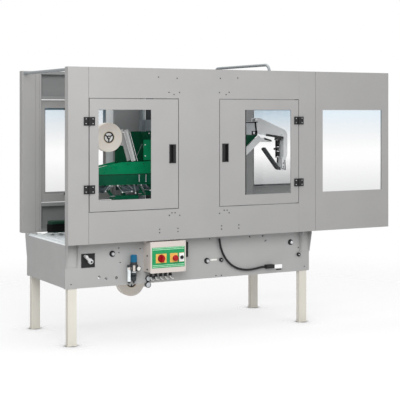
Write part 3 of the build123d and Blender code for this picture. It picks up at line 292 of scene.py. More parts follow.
def clear_sheet(name, faint, strong=None, under=0.0, front=1.0, ground_front=0.0):
    """Clear polycarbonate sheet, cast and polished: nearly unseen, with a painted blue reflection that
    grows towards its upper edge and a painted grey reflection towards its lower edge; on the
    operator's side of the machine the blue is scaled by front and the grey one by ground_front."""
    material, tree, shader, place = new_material(name)
    strong = faint if strong is None else strong
    parts = split(tree, place)
    sky = ramp(tree, parts["Z"], PANE_MIDDLE, PANE_TOP)
    ground = ramp(tree, parts["Z"], PANE_MIDDLE - REFLECTION_GAP, PANE_FOOT)
    blue, ground_reflection = (maths(tree, "MULTIPLY", ramp(tree, height, 0, 1, low, high),
                         ramp(tree, parts["Y"], 0, MIDDLE_STEP, share, 1))
                   for height, low, high, share in ((sky, faint, strong, front),
                                                    (ground, 0, under, ground_front)))
    # The painted reflections run from dark slate at the foot to sky blue at the top.
    configure(tree, shader, {
        "Base Color": mixed(tree, sky, linear("#36444C"), linear("#5CC4F0")),
        "Alpha": maths(tree, "ADD", blue, ground_reflection), "IOR": 1.58,
        "Roughness": spread(tree, noise(tree, place, 80), 0.02, 0.06)})
    return material


def belt_rubber(name, pitch):
    """Ribbed black belt rubber: ribs across the run every few millimetres, dull between."""
    material, tree, shader, place = new_material(name)
    wave = add_node(tree, "ShaderNodeTexWave", {
        "wave_type": "BANDS", "bands_direction": "X", "Distortion": 0.0,
        "Scale": 1 / (pitch * MM) * 0.314, "Vector": place})
    configure(tree, shader, {
        "Base Color": tinted(tree, "#060607", spread(tree, noise(tree, place, 6), 0, 1), 0.7, 1.3),
        "Roughness": spread(tree, noise(tree, place, 3), 0.6, 0.8),
        "Specular IOR Level": 0.12, "Normal": relief(tree, wave.outputs["Fac"], 0.4)})
    return material


def wound_tape(name, hex_colour, node):
    """The side of a node's wound roll of film tape: fine rings about its axis, slightly glossy."""
    material, tree, shader, place = new_material(name)
    low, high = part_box(node)
    centre = (low + high) / 2
    moved = add_node(tree, "ShaderNodeMapping", {
        "Location": (-centre.x, 0, -centre.z), "Scale": (1, 0, 1), "Vector": place})
    rings_noise = add_node(tree, "ShaderNodeTexNoise", {
        "noise_dimensions": "1D", "Scale": 900.0, "Detail": 2.0,
        "W": distance(tree, moved.outputs["Vector"])}).outputs["Fac"]
    configure(tree, shader, {
        "Base Color": tinted(tree, hex_colour, spread(tree, rings_noise, 0, 1), 0.93, 1.03),
        "Roughness": spread(tree, rings_noise, 0.38, 0.5),
        "Subsurface Weight": 0.05, "Normal": relief(tree, rings_noise, 0.05)})
    return material


GAUGE_PLACE = (512.0, 35.2, 481.0)
GAUGE_TICKS = 20            # ticks on half the dial
TICK_SHARE = 0.3            # width of a tick, of the way to the next
TICK_RING, TICK_REACH = 11.5, 1.4       # mm, radius of the ticks and half their length
TICK_SECTOR = 2.36          # radians that they run to each side of the top


def gauge_print(name):
    """The printed face of a small gauge: white, with dark ticks round three quarters of its rim."""
    material, tree, shader, place = new_material(name)
    moved = add_node(tree, "ShaderNodeVectorMath", {
        "operation": "SUBTRACT", 0: place, 1: tuple(spot(*GAUGE_PLACE))}).outputs["Vector"]
    parts = split(tree, moved)
    turn = maths(tree, "ARCTAN2", parts["X"], parts["Z"])
    saw = maths(tree, "PINGPONG", maths(tree, "MULTIPLY", turn, GAUGE_TICKS / math.pi), 1.0)
    tick = maths(tree, "LESS_THAN", saw, TICK_SHARE)
    rim = maths(tree, "COMPARE", distance(tree, moved), TICK_RING * MM, TICK_REACH * MM)
    sector = maths(tree, "LESS_THAN", maths(tree, "ABSOLUTE", turn), TICK_SECTOR)
    mask = maths(tree, "MULTIPLY", maths(tree, "MULTIPLY", tick, rim), sector)
    configure(tree, shader, {
        "Base Color": mixed(tree, mask, linear("#F2F2EE"), linear("#202124")),
        "Roughness": spread(tree, noise(tree, place, 8), 0.18, 0.26)})
    return material


def pale_floor(name, fade_near=2.0, fade_far=4.2, density=0.3, contact=0.16):
    """Plain pale floor whose far edge fades, so that the backdrop shows past the machine's shadow;
    it carries a painted contact shadow, darker and more solid where something stands within a
    contact distance, in metres."""
    material, tree, shader, place = new_material(name)
    open_sky = add_node(tree, "ShaderNodeAmbientOcclusion", {"Distance": contact}).outputs["AO"]
    # A painted contact shadow, found by ambient occlusion.
    contact_shadow = ramp(tree, open_sky, 0.97, 0.62)
    pale = tinted(tree, "#FAFAFA", spread(tree, noise(tree, place, 900), 0, 1), 0.99, 1.0)
    fade = ramp(tree, distance(tree, place), fade_near, fade_far, density, 0.0, "SMOOTHSTEP")
    configure(tree, shader, {
        "Base Color": mixed(tree, contact_shadow, pale, linear("#2C2C2C")), "Roughness": 0.7,
        "Alpha": maths(tree, "MAXIMUM", fade, ramp(tree, contact_shadow, 0, 1, 0, 0.9))})
    return material


# Each finish: its maker and what the maker takes, where a colour is a hex value or a setting's name.
FINISHES = {
    # The guard's coat takes a painted shade on its inner faces.
    "guard_coat": (powder_coat, "guard", 0.42, 1.6, 0.02, (inner_shade_mask, "#D8DBDD")),
    "door_coat": (powder_coat, "guard"),
    "bed_coat": (powder_coat, "bed", 0.45),
    "leg_coat": (powder_coat, "legs", 0.4),
    "column_enamel": (powder_coat, "#7C848A", 0.4),
    # A near-white painted highlight, for lit edges, bolts, ribs and a stile.
    "bright_edge": (powder_coat, "#F6F8F9", 0.35),
    "box_enamel": (powder_coat, "box", 0.38, 1.2, 0.015),
    "paddle_black": (powder_coat, "#3A3D40", 0.5),
    "cover_grey": (powder_coat, "#C7CBCE", 0.4),
    "head_enamel": (enamel, "head"),
    "housing_enamel": (enamel, "housing", 0.36),
    "bright_enamel": (enamel, "#0D8659"),
    "dark_cover": (enamel, "#05573D", 0.4),
    "belt_enamel": (enamel, "#063021", 0.5),
    "arm_enamel": (enamel, "#E6E8E9", 0.4),
    "black_moulding": (moulded, "#1D1D1E"),
    "gloss_black": (moulded, "#141415", 0.25, 4, 0.01),
    "dark_moulding": (moulded, "#393C3F"),
    "red_moulding": (moulded, "red", 0.28, 3, 0.01),
    "blue_moulding": (moulded, "regulator", 0.32, 3, 0.01),
    "yellow_plate": (moulded, "warning", 0.4, 2, 0.005),
    "white_plate": (moulded, "#F9F9F5", 0.4, 2, 0.005),
    "overlay_green": (moulded, "overlay", 0.35, 2, 0.004),
    "stripe_green": (moulded, "stripe", 0.35, 2, 0.004),
    "nylon": (moulded, "#F9F8F1", 0.45),
    "hub_grey": (moulded, "#F9F9F5", 0.4),
    "card": (moulded, "#D8C5A8", 0.8),
    "conduit": (moulded, "#19191A", 0.42, 2.0, 0.05),
    "roller_zinc": (zinc_plate, "#F4FBFF", 0.34, 0.42),
    "tie_zinc": (zinc_plate, "#959A9D", 0.5, 0.2),
    "screw_zinc": (zinc_plate, "#C7C9CB", 0.34),
    "black_oxide": (zinc_plate, "#3F4042", 0.4),
    "drawn_aluminium": (brushed_metal, "#D3D3D3", 0.4, (1, 1, 0.06), 0.3),
    # painted shade on the mechanism below the upper tape unit
    "mechanism_metal": (brushed_metal, "#D3D3D3", 0.4, (1, 1, 0.06), 0.3, (under_unit_shade_mask, "#5F6E74")),
    "turned_steel": (brushed_metal, "#BBBDBF", 0.3, (0.05, 1, 1)),
    "lever_grey": (brushed_metal, "#ABB3B6", 0.35, (1, 1, 1), 0.5),
    "belt": (belt_rubber, 4.0),
    # The panes carry painted reflections: blue towards the top, grey towards the foot.
    "clear": (clear_sheet, 0.001),
    "hazy_clear": (clear_sheet, 0.01, 0.2, 0.1),
    "smoky_clear": (clear_sheet, 0.01, 0.34, 0.36, 0.45, 0.3),
    "bowl_clear": (clear_sheet, 0.25),
    "upper_tape": (wound_tape, "tape", "tape_roll_upper"),
    "lower_tape": (wound_tape, "tape", "tape_roll_lower"),
    "gauge_face": (gauge_print,),
    "floor": (pale_floor,),
}
MADE = {}


def finish(name):
    """A finish by name, made the first time it is asked for."""
    if name not in MADE:
        maker, *values = FINISHES[name]
        if values and isinstance(values[0], str) and not values[0].startswith("#"):
            values[0] = getattr(colours(), values[0])
        MADE[name] = maker(name, *values)
    return MADE[name]


# The CAD nodes of each finish, by the starts of their names.
NODE_STARTS = {
    "guard_coat": "guard_", "smoky_clear": "extension_panes", "door_coat": "door_",
    "clear": "door_pane_front", "hazy_clear": "door_pane_rear",
    "black_moulding": "door_fittings hinge_plates tape_hub cable_fittings crank_plate",
    "tie_zinc": "top_ties", "bed_coat": "bed_ guard_brackets", "leg_coat": "legs",
    "roller_zinc": "bed_rollers outfeed_roller", "belt": "belt_", "belt_enamel": "belt_carriage",
    "column_enamel": "head_", "housing_enamel": "head_body tape_backing_plate",
    "arm_enamel": "flap_ski flap_arm", "gloss_black": "flap_cylinder start_button",
    "paddle_black": "flap_paddle", "head_enamel": "tape_unit_upper",
    "drawn_aluminium": "tape_unit_lower crank", "upper_tape": "tape_roll_upper",
    "lower_tape": "tape_roll_lower", "mechanism_metal": "tape_mechanism",
    "box_enamel": "control_box", "yellow_plate": "switch_plates",
    "red_moulding": "main_switch stop_button", "dark_moulding": "air_service_unit",
    "blue_moulding": "air_knob", "conduit": "conduit",
}
NODE_FINISH = {start: name for name, starts in NODE_STARTS.items() for start in starts.split()}


def node_finish(node):
    """The finish of a CAD node, by the longest listed start of its name."""
    return NODE_FINISH[max((start for start in NODE_FINISH if node.startswith(start)), key=len)]


# Looks of the added pieces: a finish and the slot that it stands for.
STEEL = ("screw_zinc", "roller_steel")
OXIDE = ("black_oxide", "roller_steel")
# Near-white with a painted highlight, for bolts and nuts.
HIGHLIGHT = ("bright_edge", "roller_steel")
GLOSS = ("gloss_black", "black_plastic")
BLACK = ("black_moulding", "black_plastic")


# Mesh helpers
def put_mesh(name, shape, look, body="frame", smooth=True):
    """A new piece from a (points, faces) pair or a list of them, its faces turned outwards, with the
    finish of a look and on a body."""
    points, faces = joined(shape) if isinstance(shape, list) else shape
    finish_name, slot = look
    mesh = bpy.data.meshes.new(name)
    mesh.from_pydata(np.asarray(points, float).tolist(), [], [tuple(f) for f in faces])
    work = bmesh.new()
    work.from_mesh(mesh)
    bmesh.ops.recalc_face_normals(work, faces=work.faces)
    work.to_mesh(mesh)
    work.free()
    if smooth:
        mesh.shade_smooth()
        mesh.set_sharp_from_angle(angle=math.radians(38))
    mesh.materials.append(finish(finish_name))
    piece = bpy.data.objects.new(name, mesh)
    bpy.context.scene.collection.objects.link(piece)
    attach(piece, body)
    return piece


def grid_faces(rows, columns):
    """Quads of a grid of points whose last column joins its first."""
    row, column = np.meshgrid(np.arange(rows - 1), np.arange(columns), indexing="ij")
    after = (column + 1) % columns
    quads = np.stack((row * columns + column, row * columns + after,
                      (row + 1) * columns + after, (row + 1) * columns + column), -1)
    return quads.reshape(-1, 4).tolist()


def capped_faces(rows, columns):
    """The quads between rings of points, and a face over the first and the last ring."""
    last = (rows - 1) * columns
    return grid_faces(rows, columns) + [list(range(columns))[::-1], list(range(last, last + columns))]


def axes_of(direction):
    """Two unit vectors square to a direction, and the direction itself as a unit vector."""
    n = np.asarray(direction, float)
    n = n / np.linalg.norm(n)
    side = np.array(UP) if abs(n[2]) < 0.9 else np.array((1.0, 0.0, 0.0))
    a = np.cross(side, n)
    a = a / np.linalg.norm(a)
    return a, np.cross(n, a), n


def rings(profile, centre, direction, segments):
    """A profile carried round an axis: each (radius, height), in mm, gives at each angle t the
    point = centre + height * n + radius * (cos t * a + sin t * b)."""
    a, b, n = axes_of(direction)
    radius, height = (np.asarray(profile, float) * MM).T[:, :, None, None]
    t = np.linspace(0, 2 * np.pi, segments, endpoint=False)[:, None]
    return np.asarray(centre) + height * n + radius * (np.cos(t) * a + np.sin(t) * b)


def turned(profile, centre, direction, segments=24):
    """A turned piece: the profile's rings, with both ends closed by a face."""
    points = rings(profile, centre, direction, segments)
    return points.reshape(-1, 3), capped_faces(len(profile), segments)


def ring_band(profile, centre, direction, segments=32):
    """A turned ring: a closed profile carried once round the axis."""
    points = rings(profile, centre, direction, segments).swapaxes(0, 1).reshape(-1, 3)
    return points, (np.asarray(grid_faces(segments + 1, len(profile))) % len(points)).tolist()


def bar(low, high, chamfer=0.0):
    """A box between two corners, in metres: its outline in XZ, whose corners are cut by a chamfer,
    carried along Y."""
    (x0, near, z0), (x1, far, z1), c = np.minimum(low, high), np.maximum(low, high), chamfer
    outline = ((x0, z0), (x1, z0), (x1, z1), (x0, z1))
    if c:
        outline = ((x0 + c, z0), (x1 - c, z0), (x1, z0 + c), (x1, z1 - c),
                   (x1 - c, z1), (x0 + c, z1), (x0, z1 - c), (x0, z0 + c))
    x, z = np.tile(np.array(outline).T, 2)
    points = np.column_stack((x, np.repeat((near, far), len(outline)), z))
    return points, capped_faces(2, len(outline))


def tube(path, radius, segments=12):
    """A round bar along a path: at each point a ring square to the path's direction, in metres."""
    path = np.asarray(path, float)
    along = np.gradient(path, axis=0)
    along = along / np.linalg.norm(along, axis=1)[:, None]
    side = np.cross(along, np.array((0.12, 0.31, 0.94)))
    side = side / np.linalg.norm(side, axis=1)[:, None]
    up = np.cross(along, side)
    t = np.linspace(0, 2 * np.pi, segments, endpoint=False)[:, None]
    points = path[:, None] + radius * (np.cos(t) * side[:, None] + np.sin(t) * up[:, None])
    return points.reshape(-1, 3), capped_faces(len(path), segments)


def smooth_path(points, steps=8):
    """A Catmull-Rom curve through the points: each stretch is a cubic that leaves and meets its
    ends in line with their neighbours."""
    points = np.asarray(points, float)
    padded = np.concatenate((2 * points[:1] - points[1:2], points, 2 * points[-1:] - points[-2:-1]))
    t = np.linspace(0, 1, steps, endpoint=False)[None, :, None]
    p0, p1, p2, p3 = (padded[i:len(padded) - 3 + i][:, None, :] for i in range(4))
    curve = 0.5 * (2 * p1 + (p2 - p0) * t + (2 * p0 - 5 * p1 + 4 * p2 - p3) * t ** 2
                   + (3 * p1 - p0 - 3 * p2 + p3) * t ** 3)
    return np.concatenate((curve.reshape(-1, 3), points[-1:]))


def joined(shapes):
    """Several (points, faces) pairs as one."""
    points, faces, start = [], [], 0
    for own_points, own_faces in shapes:
        points.append(np.asarray(own_points))
        faces.extend([[i + start for i in face] for face in own_faces])
        start += len(own_points)
    return np.concatenate(points), faces


def repeated(shape, places):
    """Copies of one shape, each moved by one of the places."""
    return joined([(np.asarray(place) + shape[0], shape[1]) for place in places])


def put_row(name, shape, places, look, body="frame"):
    """One shape at many places as a single piece."""
    return put_mesh(name, repeated(shape, places), look, body)


def block(stations, heights, depths, chamfer=0.0, rear=False):
    """A box between two stations, heights and depths, in mm, with its front outline chamfered."""
    near, far = (spot(*corner, rear) for corner in zip(stations, depths, heights))
    return bar(near, far, chamfer * MM)


def strut(start, end, width, depths, end_width=None):
    """A straight flat bar between two (station, height) points, in mm: the outline is the line from
    start to end moved half a width to each side, carried from one depth to the other."""
    start, end = np.asarray(start, float), np.asarray(end, float)
    run = (end - start) / np.linalg.norm(end - start)
    off = np.array((-run[1], run[0])) / 2
    far = width if end_width is None else end_width
    outline = (start + off * width, end + off * far, end - off * far, start - off * width)
    stations, heights = np.tile(np.array(outline).T, 2)
    return spot(stations, np.repeat(depths, 4), heights).T, capped_faces(2, 4)


def coil(start, end, radius, wire, turns):
    """A coil spring between two points: centre line start + s (end - start) + radius (cos a, sin a)
    about it, where a runs through all the turns."""
    start, run = np.asarray(start), np.asarray(end) - np.asarray(start)
    a, b, _ = axes_of(run)
    s = np.linspace(0, 1, turns * 10 + 1)[:, None]
    turn = s * turns * 2 * np.pi
    return tube(start + s * run + radius * (np.cos(turn) * a + np.sin(turn) * b), wire, 6)


def pan_head(radius, height, direction=FRONT):
    """A low domed screw head with a round socket, in mm: rings of a quarter ellipse, then a dip."""
    t = np.linspace(0, np.pi / 2, 5)[:-1]
    dome = [(radius * (0.55 + 0.45 * math.cos(a)), height * math.sin(a)) for a in t]
    dip = [(radius * 0.42, height), (radius * 0.36, height * 0.35), (0.05, height * 0.35)]
    return turned([(radius, -0.3)] + dome + dip, ORIGIN, direction, 14)


def put_screws(name, head, places, depth, look, body="frame"):
    """Pan heads of a (radius, height) on a face at one depth, at places given as (station, height)."""
    put_row(name, pan_head(*head), [spot(x, depth, z) for x, z in places], look, body)


# Operators.  Before each stand the tables it works from: places are (station, height), profiles are
# (radius, height) and faces are depths, all in mm.
class SEALER_OT_finishes(bpy.types.Operator):
    """Give every CAD part its finish"""
    bl_idname = "sealer.finishes"
    bl_label = "Finish the parts"

    def execute(self, context):
        for node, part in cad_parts.items():
            part.data.materials.clear()
            part.data.materials.append(finish(node_finish(node)))
        return {"FINISHED"}


WALL_SCREWS = (
    (639, 1742), (777, 1736), (1108, 1741), (1246, 1745), (716, 1642), (754, 1628), (795, 1642),
    (1101, 1643), (1153, 1630), (1177, 1646), (719, 825), (738, 841), (762, 840), (797, 822),
    (1102, 822), (1138, 842), (1161, 841), (1177, 822), (647, 736), (647, 714), (783, 736),
    (783, 714), (1118, 736), (1118, 714), (1254, 736), (1254, 714),
)
BED_SCREWS = (
    (397, 616), (397, 586), (406, 520), (552, 602), (1130, 384), (1173, 383), (1403, 635),
    (1510, 637), (1535, 605), (60, 610), (60, 400), (1860, 400), (1080, 640),
)
HINGES = (("left", 144.5, 1), ("right", 1745.5, -1))        # door, station of its axis, way inwards
HINGE_CENTRES = (1014.0, 1451.5)
HINGE_FACE = -6.0
HINGE_SCREW_OUT = 24.0
HINGE_SCREW_RISE = 15.0


class SEALER_OT_fasteners(bpy.types.Operator):
    """Put the screws on the walls, the bed and the hinges"""
    bl_idname = "sealer.fasteners"
    bl_label = "Fasteners"

    def execute(self, context):
        radius, height = sizes().screw_radius / MM, sizes().screw_height / MM
        for name, depth, screws in (("wall_screws", 0, WALL_SCREWS),
                                    ("bed_screws", BED_DEPTH, BED_SCREWS)):
            put_mesh(name, [
                repeated(pan_head(radius, height, facing), [spot(x, depth, z, rear) for x, z in screws])
                for _, facing, rear in SIDES], OXIDE)
        for side, facing, rear in SIDES:
            head = pan_head(3.4, 1.8, facing)

            def screws_beside(axis, way):
                """The four screws on one side of a door's hinge axis."""
                return [spot(axis + way * HINGE_SCREW_OUT, HINGE_FACE, z + rise, rear)
                        for z in HINGE_CENTRES for rise in (-HINGE_SCREW_RISE, HINGE_SCREW_RISE)]

            wall_side = [place for _, axis, way in HINGES for place in screws_beside(axis, -way)]
            put_row(f"hinge_screws_{side}", head, wall_side, STEEL)
            for hand, axis, way in HINGES:
                put_row(f"leaf_screws_{side}_{hand}", head, screws_beside(axis, way), STEEL,
                        f"{side}_{hand}_door")
        return {"FINISHED"}


ROD_ENDS = ((349, 581), (1057, 491), (1740, 581))
CLAMP_KNOBS = ((1167, 491), (1805, 490))
ROD_PROFILE = ((11, 0), (11, 19), (9.6, 21), (4, 21), (3, 19.5), (0.1, 19.5))
KNOB_PROFILE = ((9, 0), (9, 3), (14, 4), (14.5, 6), (14.5, 13), (12.5, 15.5), (6, 16), (5, 15),
                (0.1, 15))
HUB_PROFILE = ((4.2, 15), (4.2, 17), (3.2, 18), (0.1, 18))


class SEALER_OT_grommets(bpy.types.Operator):
    """Put the rod ends with their black flanges, the clamp knobs and the slider on the bed's sides"""
    bl_idname = "sealer.grommets"
    bl_label = "Rod ends and knobs"

    def execute(self, context):
        outer = sizes().ring_radius / MM
        flange = ((outer, 0), (outer, 3.5), (outer - 2.5, 6), (12.5, 6), (11.2, 4.5), (11.2, 0))
        for side, facing, rear in SIDES:
            ends, knobs = ([spot(x, BED_DEPTH, z, rear) for x, z in places]
                           for places in (ROD_ENDS, CLAMP_KNOBS))
            put_row(f"rod_flanges_{side}", ring_band(flange, ORIGIN, facing), ends, GLOSS)
            put_row(f"rod_ends_{side}", turned(ROD_PROFILE, ORIGIN, facing), ends,
                    ("turned_steel", "roller_steel"))
            put_row(f"clamp_knobs_{side}", turned(KNOB_PROFILE, ORIGIN, facing, 20), knobs, GLOSS)
            put_row(f"clamp_hubs_{side}", turned(HUB_PROFILE, ORIGIN, facing, 16), knobs, STEEL)
        put_mesh("slot_slider", block((1083, 1139), (488, 500), (BED_DEPTH - 1, BED_DEPTH + 2), 5),
                 ("nylon", "box_cream"))
        return {"FINISHED"}


LID_FACE = -10.0
OVERLAY_FACE = LID_FACE - 0.5
PLATE_FACE = -14.0
START_FACE = PLATE_FACE - 0.3
SWITCH_ROW = 544
COLLARS = (                 # name, station, face, profile, look
    ("start_collar", 804, START_FACE,
     ((12.6, 0), (14.5, 0), (14.5, 2), (13.4, 3.2), (12.6, 3.2)), STEEL),
    ("main_collar", 653, PLATE_FACE,
     ((26, 0), (26, 2), (24, 3.5), (18, 3.5), (24.5, 3.5), (24.5, 0)), BLACK),
    ("stop_collar", 746, PLATE_FACE, ((12, 0), (17, 0), (17, 4), (15.5, 6), (12, 6)),
     ("yellow_plate", "plate_yellow")),
)


class SEALER_OT_box_front(bpy.types.Operator):
    """Lay the printed overlay and the small switch details on the control box"""
    bl_idname = "sealer.box_front"
    bl_label = "Control box front"

    def execute(self, context):
        put_mesh("overlay", block((586, 828), (481, 617), (LID_FACE, OVERLAY_FACE)),
                 ("overlay_green", "plate_yellow"))
        put_mesh("overlay_stripes", [
            block((590, 824), (low, low + 4), (OVERLAY_FACE, OVERLAY_FACE - 0.2))
            for low in (487, 497, 600, 610)], ("stripe_green", "plate_yellow"))
        put_mesh("start_plate", block((785.5, 822.5), (515.5, 572.5), (PLATE_FACE, START_FACE)),
                 ("white_plate", "plate_yellow"))
        for name, station, face, profile, look in COLLARS:
            put_mesh(name, ring_band(profile, spot(station, face, SWITCH_ROW), FRONT), look)
        corners = [(x, z) for x in (584, 828) for z in (457, 645)]
        put_screws("lid_screws", (4.2, 1.6), corners, LID_FACE, STEEL)
        put_row("box_side_screws", turned(((5, 0), (5, 4), (4, 5), (0.1, 5)), ORIGIN, LEFT, 14),
                [spot(577, 40, z) for z in (560, 470)], OXIDE)
        return {"FINISHED"}


REGULATOR = (490.0, 68.0)   # station and depth of the regulator's axis
FILTER = (456.0, 68.0)
NEEDLE = ((-0.6, -3), (0.6, -3), (0.25, 9), (-0.25, 9))
NEEDLE_LEAN = math.radians(38)
KNOB_RIBS, KNOB_RIB_RING = 24, 20.2


class SEALER_OT_air_fittings(bpy.types.Operator):
    """Add the gauge's face, the collars, the bowl's sleeve and the push-in fittings to the air unit"""
    bl_idname = "sealer.air_fittings"
    bl_label = "Air unit fittings"

    def execute(self, context):
        x, depth, z = GAUGE_PLACE
        bezel = ((14.4, -0.6), (17.3, -0.6), (17.3, 2), (16.4, 3), (15, 3), (14.4, 1))
        put_mesh("gauge_bezel", ring_band(bezel, spot(x, depth, z), FRONT), ("gloss_black", "air_grey"))
        dial = ((14.6, -0.6), (14.6, 0.2), (0.1, 0.2))
        put_mesh("gauge_print", turned(dial, spot(x, depth, z), FRONT, 32), ("gauge_face", "air_grey"))
        cosine, sine = math.cos(NEEDLE_LEAN), math.sin(NEEDLE_LEAN)
        needle = [spot(x + px * cosine + pz * sine, depth - 0.6, z + pz * cosine - px * sine)
                  for px, pz in NEEDLE]
        put_mesh("gauge_needle", (needle, [(0, 1, 2, 3)]), ("black_moulding", "air_grey"), smooth=False)
        sleeve = ((7, 0), (12, 6), (12.1, 74), (13.4, 76), (13.4, 98), (9, 100))
        put_mesh("filter_sleeve", turned(sleeve, spot(*FILTER, 390), UP, 28),
                 ("roller_zinc", "air_grey"))
        for name, profile, levels, look in (
                ("bowl_collars", ((17.4, 0), (18.6, 1), (18.6, 9), (17.4, 10)), (452, 506),
                 ("screw_zinc", "air_grey")),
                ("bowl_bands", ((17.7, 0), (19, 1), (19, 8), (17.7, 9)), (428, 516), GLOSS)):
            put_mesh(name, [turned(profile, spot(*REGULATOR, z), UP, 28) for z in levels], look)
        put_mesh("unit_label", [block((474, 490), (464, 502), (44, 46.5), 2),
                                block((446, 466), (474, 490), (54, 56.5), 2)],
                 ("box_enamel", "air_grey"))
        bowl = ((8, 0), (14, 4), (17.6, 14), (17.6, 52), (17, 54))
        put_mesh("clear_bowl", turned(bowl, spot(*REGULATOR, 396), UP, 28),
                 ("bowl_clear", "clear_pane"))
        x, depth = REGULATOR
        around = [(x + KNOB_RIB_RING * math.cos(a), depth - KNOB_RIB_RING * math.sin(a))
                  for a in np.linspace(0, 2 * np.pi, KNOB_RIBS, endpoint=False)]
        put_mesh("knob_ribs", [block((s - 1, s + 1), (527, 563), (d - 1, d + 1)) for s, d in around],
                 ("blue_moulding", "knob_blue"), "regulator_knob")
        return {"FINISHED"}


ROLLS = (("upper", (474, 1337), "upper_tape"), ("lower", (646, 332), "lower_tape"))
TAPE_DEPTHS = (435, 485)
UNIT_FACE = 397             # depths of the upper unit's cover and of the housing's side
HOUSING_FACE = 404
PANEL_FACE = 402.5
UNIT_SCREWS = ((350, 1095), (470, 1128), (600, 1150), (720, 1152), (860, 1152), (350, 1062),
               (470, 1040), (600, 1030), (860, 1030), (860, 1100))
PANEL_BOLTS = ((734, 1283), (735, 1206), (900, 1300), (900, 1190))
HOUSING_BOLTS = ((765, 1362), (1100, 1362), (1420, 1362))
LARGE_HEAD = (5, 3)         # mm, radius and height of a large pan head
UNIT_RODS = (683, 735)
ROD_SHAPE = ((3.5, 0), (5, 1), (5, 6), (3.2, 7), (3.2, 44), (5, 45), (5, 50), (3.5, 51))


class SEALER_OT_tape_details(bpy.types.Operator):
    """Add the cores, the hub discs, the rods and the panels to the tape units"""
    bl_idname = "sealer.tape_details"
    bl_label = "Tape details"

    def execute(self, context):
        core = ((37.9, 0), (41.5, 0), (41.5, 0.6), (37.9, 0.6))
        for name, (x, z), body in ROLLS:
            put_mesh(f"tape_core_{name}", [
                ring_band(core, spot(x, depth, z), facing, 48)
                for depth, facing in zip(TAPE_DEPTHS, (FRONT, BACK))], ("card", "tape_film"), body)
        put_row("unit_rods", turned(ROD_SHAPE, ORIGIN, UP, 14), [spot(x, 391, 1026) for x in UNIT_RODS],
                STEEL, "head")
        put_screws("unit_screws", (4, 2), UNIT_SCREWS, UNIT_FACE, OXIDE, "head")
        put_mesh("housing_panel", block((722, 1528), (1176, 1318), (PANEL_FACE, 404.5), 3),
                 ("bright_enamel", "head_green"), "head")
        # A painted highlight along the top edge of the upper unit.
        put_mesh("unit_edge", [strut((333, 1121), (428, 1134), 4, (398, 440), 7),
                               strut((428, 1137), (545, 1152), 5, (398, 440), 1)],
                 ("bright_edge", "mechanism_aluminium"), "head")
        put_mesh("unit_lower_cover", block((340, 896), (1014, 1078), (395.6, 397.2), 4),
                 ("dark_cover", "head_green"), "head")
        put_mesh("unit_seam", block((332, 899), (1078.5, 1083.5), (395.2, 397.2)),
                 ("black_moulding", "dark_green"), "head")
        put_screws("panel_bolts", LARGE_HEAD, PANEL_BOLTS, PANEL_FACE, HIGHLIGHT, "head")
        put_screws("housing_bolts", LARGE_HEAD, HOUSING_BOLTS, HOUSING_FACE, STEEL, "head")
        wires = tube([spot(670, 403, 1206), spot(712, 403, 1291), spot(722, 403, 1262)], 1.1 * MM, 6)
        put_mesh("sensor_wires", wires, ("lever_grey", "roller_steel"), "head")
        for name, (x, z), body in ROLLS:
            put_mesh(f"hub_disc_{name}",
                     turned(((30, 0), (30, 1.4), (9, 1.4), (9, 0)), spot(x, 440, z), FRONT, 40),
                     ("hub_grey", "hub_plastic"), body)
        return {"FINISHED"}


COLUMN_REACH = 155.0        # depth of the rear columns' inner face
GUIDE_TOP, GUIDE_FOOT = (590.0, 1388.0), (650.0, 1172.0)
GUIDE_RIBS = (-19, 5, 26)
UNIT_HANG = 1013            # height at which the levers leave the upper unit
LEVER_FACE = 400
LEVER_BARS = (              # start, end, width, depths
    ((468, UNIT_HANG), (431, 967), 4, (401, 404)), ((484, UNIT_HANG), (452, 975), 4, (400, 402)),
    ((518, UNIT_HANG), (560, 958), 5, (400, 403)), ((560, 958), (632, 962), 6, (400, 403)),
    ((596, UNIT_HANG), (640, 978), 5, (402, 405)), ((648, UNIT_HANG), (662, 948), 7, (400, 403)),
    ((700, UNIT_HANG), (722, 972), 6, (400, 404)), ((722, 972), (775, 966), 4, (400, 404)),
    ((738, UNIT_HANG), (752, 985), 5, (402, 405)),
)
LEVER_BLOCKS = (            # stations, heights, depths, chamfer
    ((470, 512), (930, 935), (412, 420), 1), ((690, 716), (940, 946), (416, 424), 1),
    ((600, 624), (944, 950), (436, 442), 1),
)
LEVER_BOLTS = ((466, 1005), (433, 968), (524, 1004), (560, 958), (632, 962), (660, 950), (703, 1004),
               (772, 966))
SPRINGS = (((520, 408, 1011), (640, 408, 960), 16), ((690, 408, 1011), (735, 408, 940), 9))
# A painted light band and a painted shade band on the rear column.
COLUMN_STRIPS = (           # name, stations, look
    ("column_light", (889, 906), ("lever_grey", "column_grey")),
    ("column_shade", (913, 977), ("dark_moulding", "column_grey")),
)


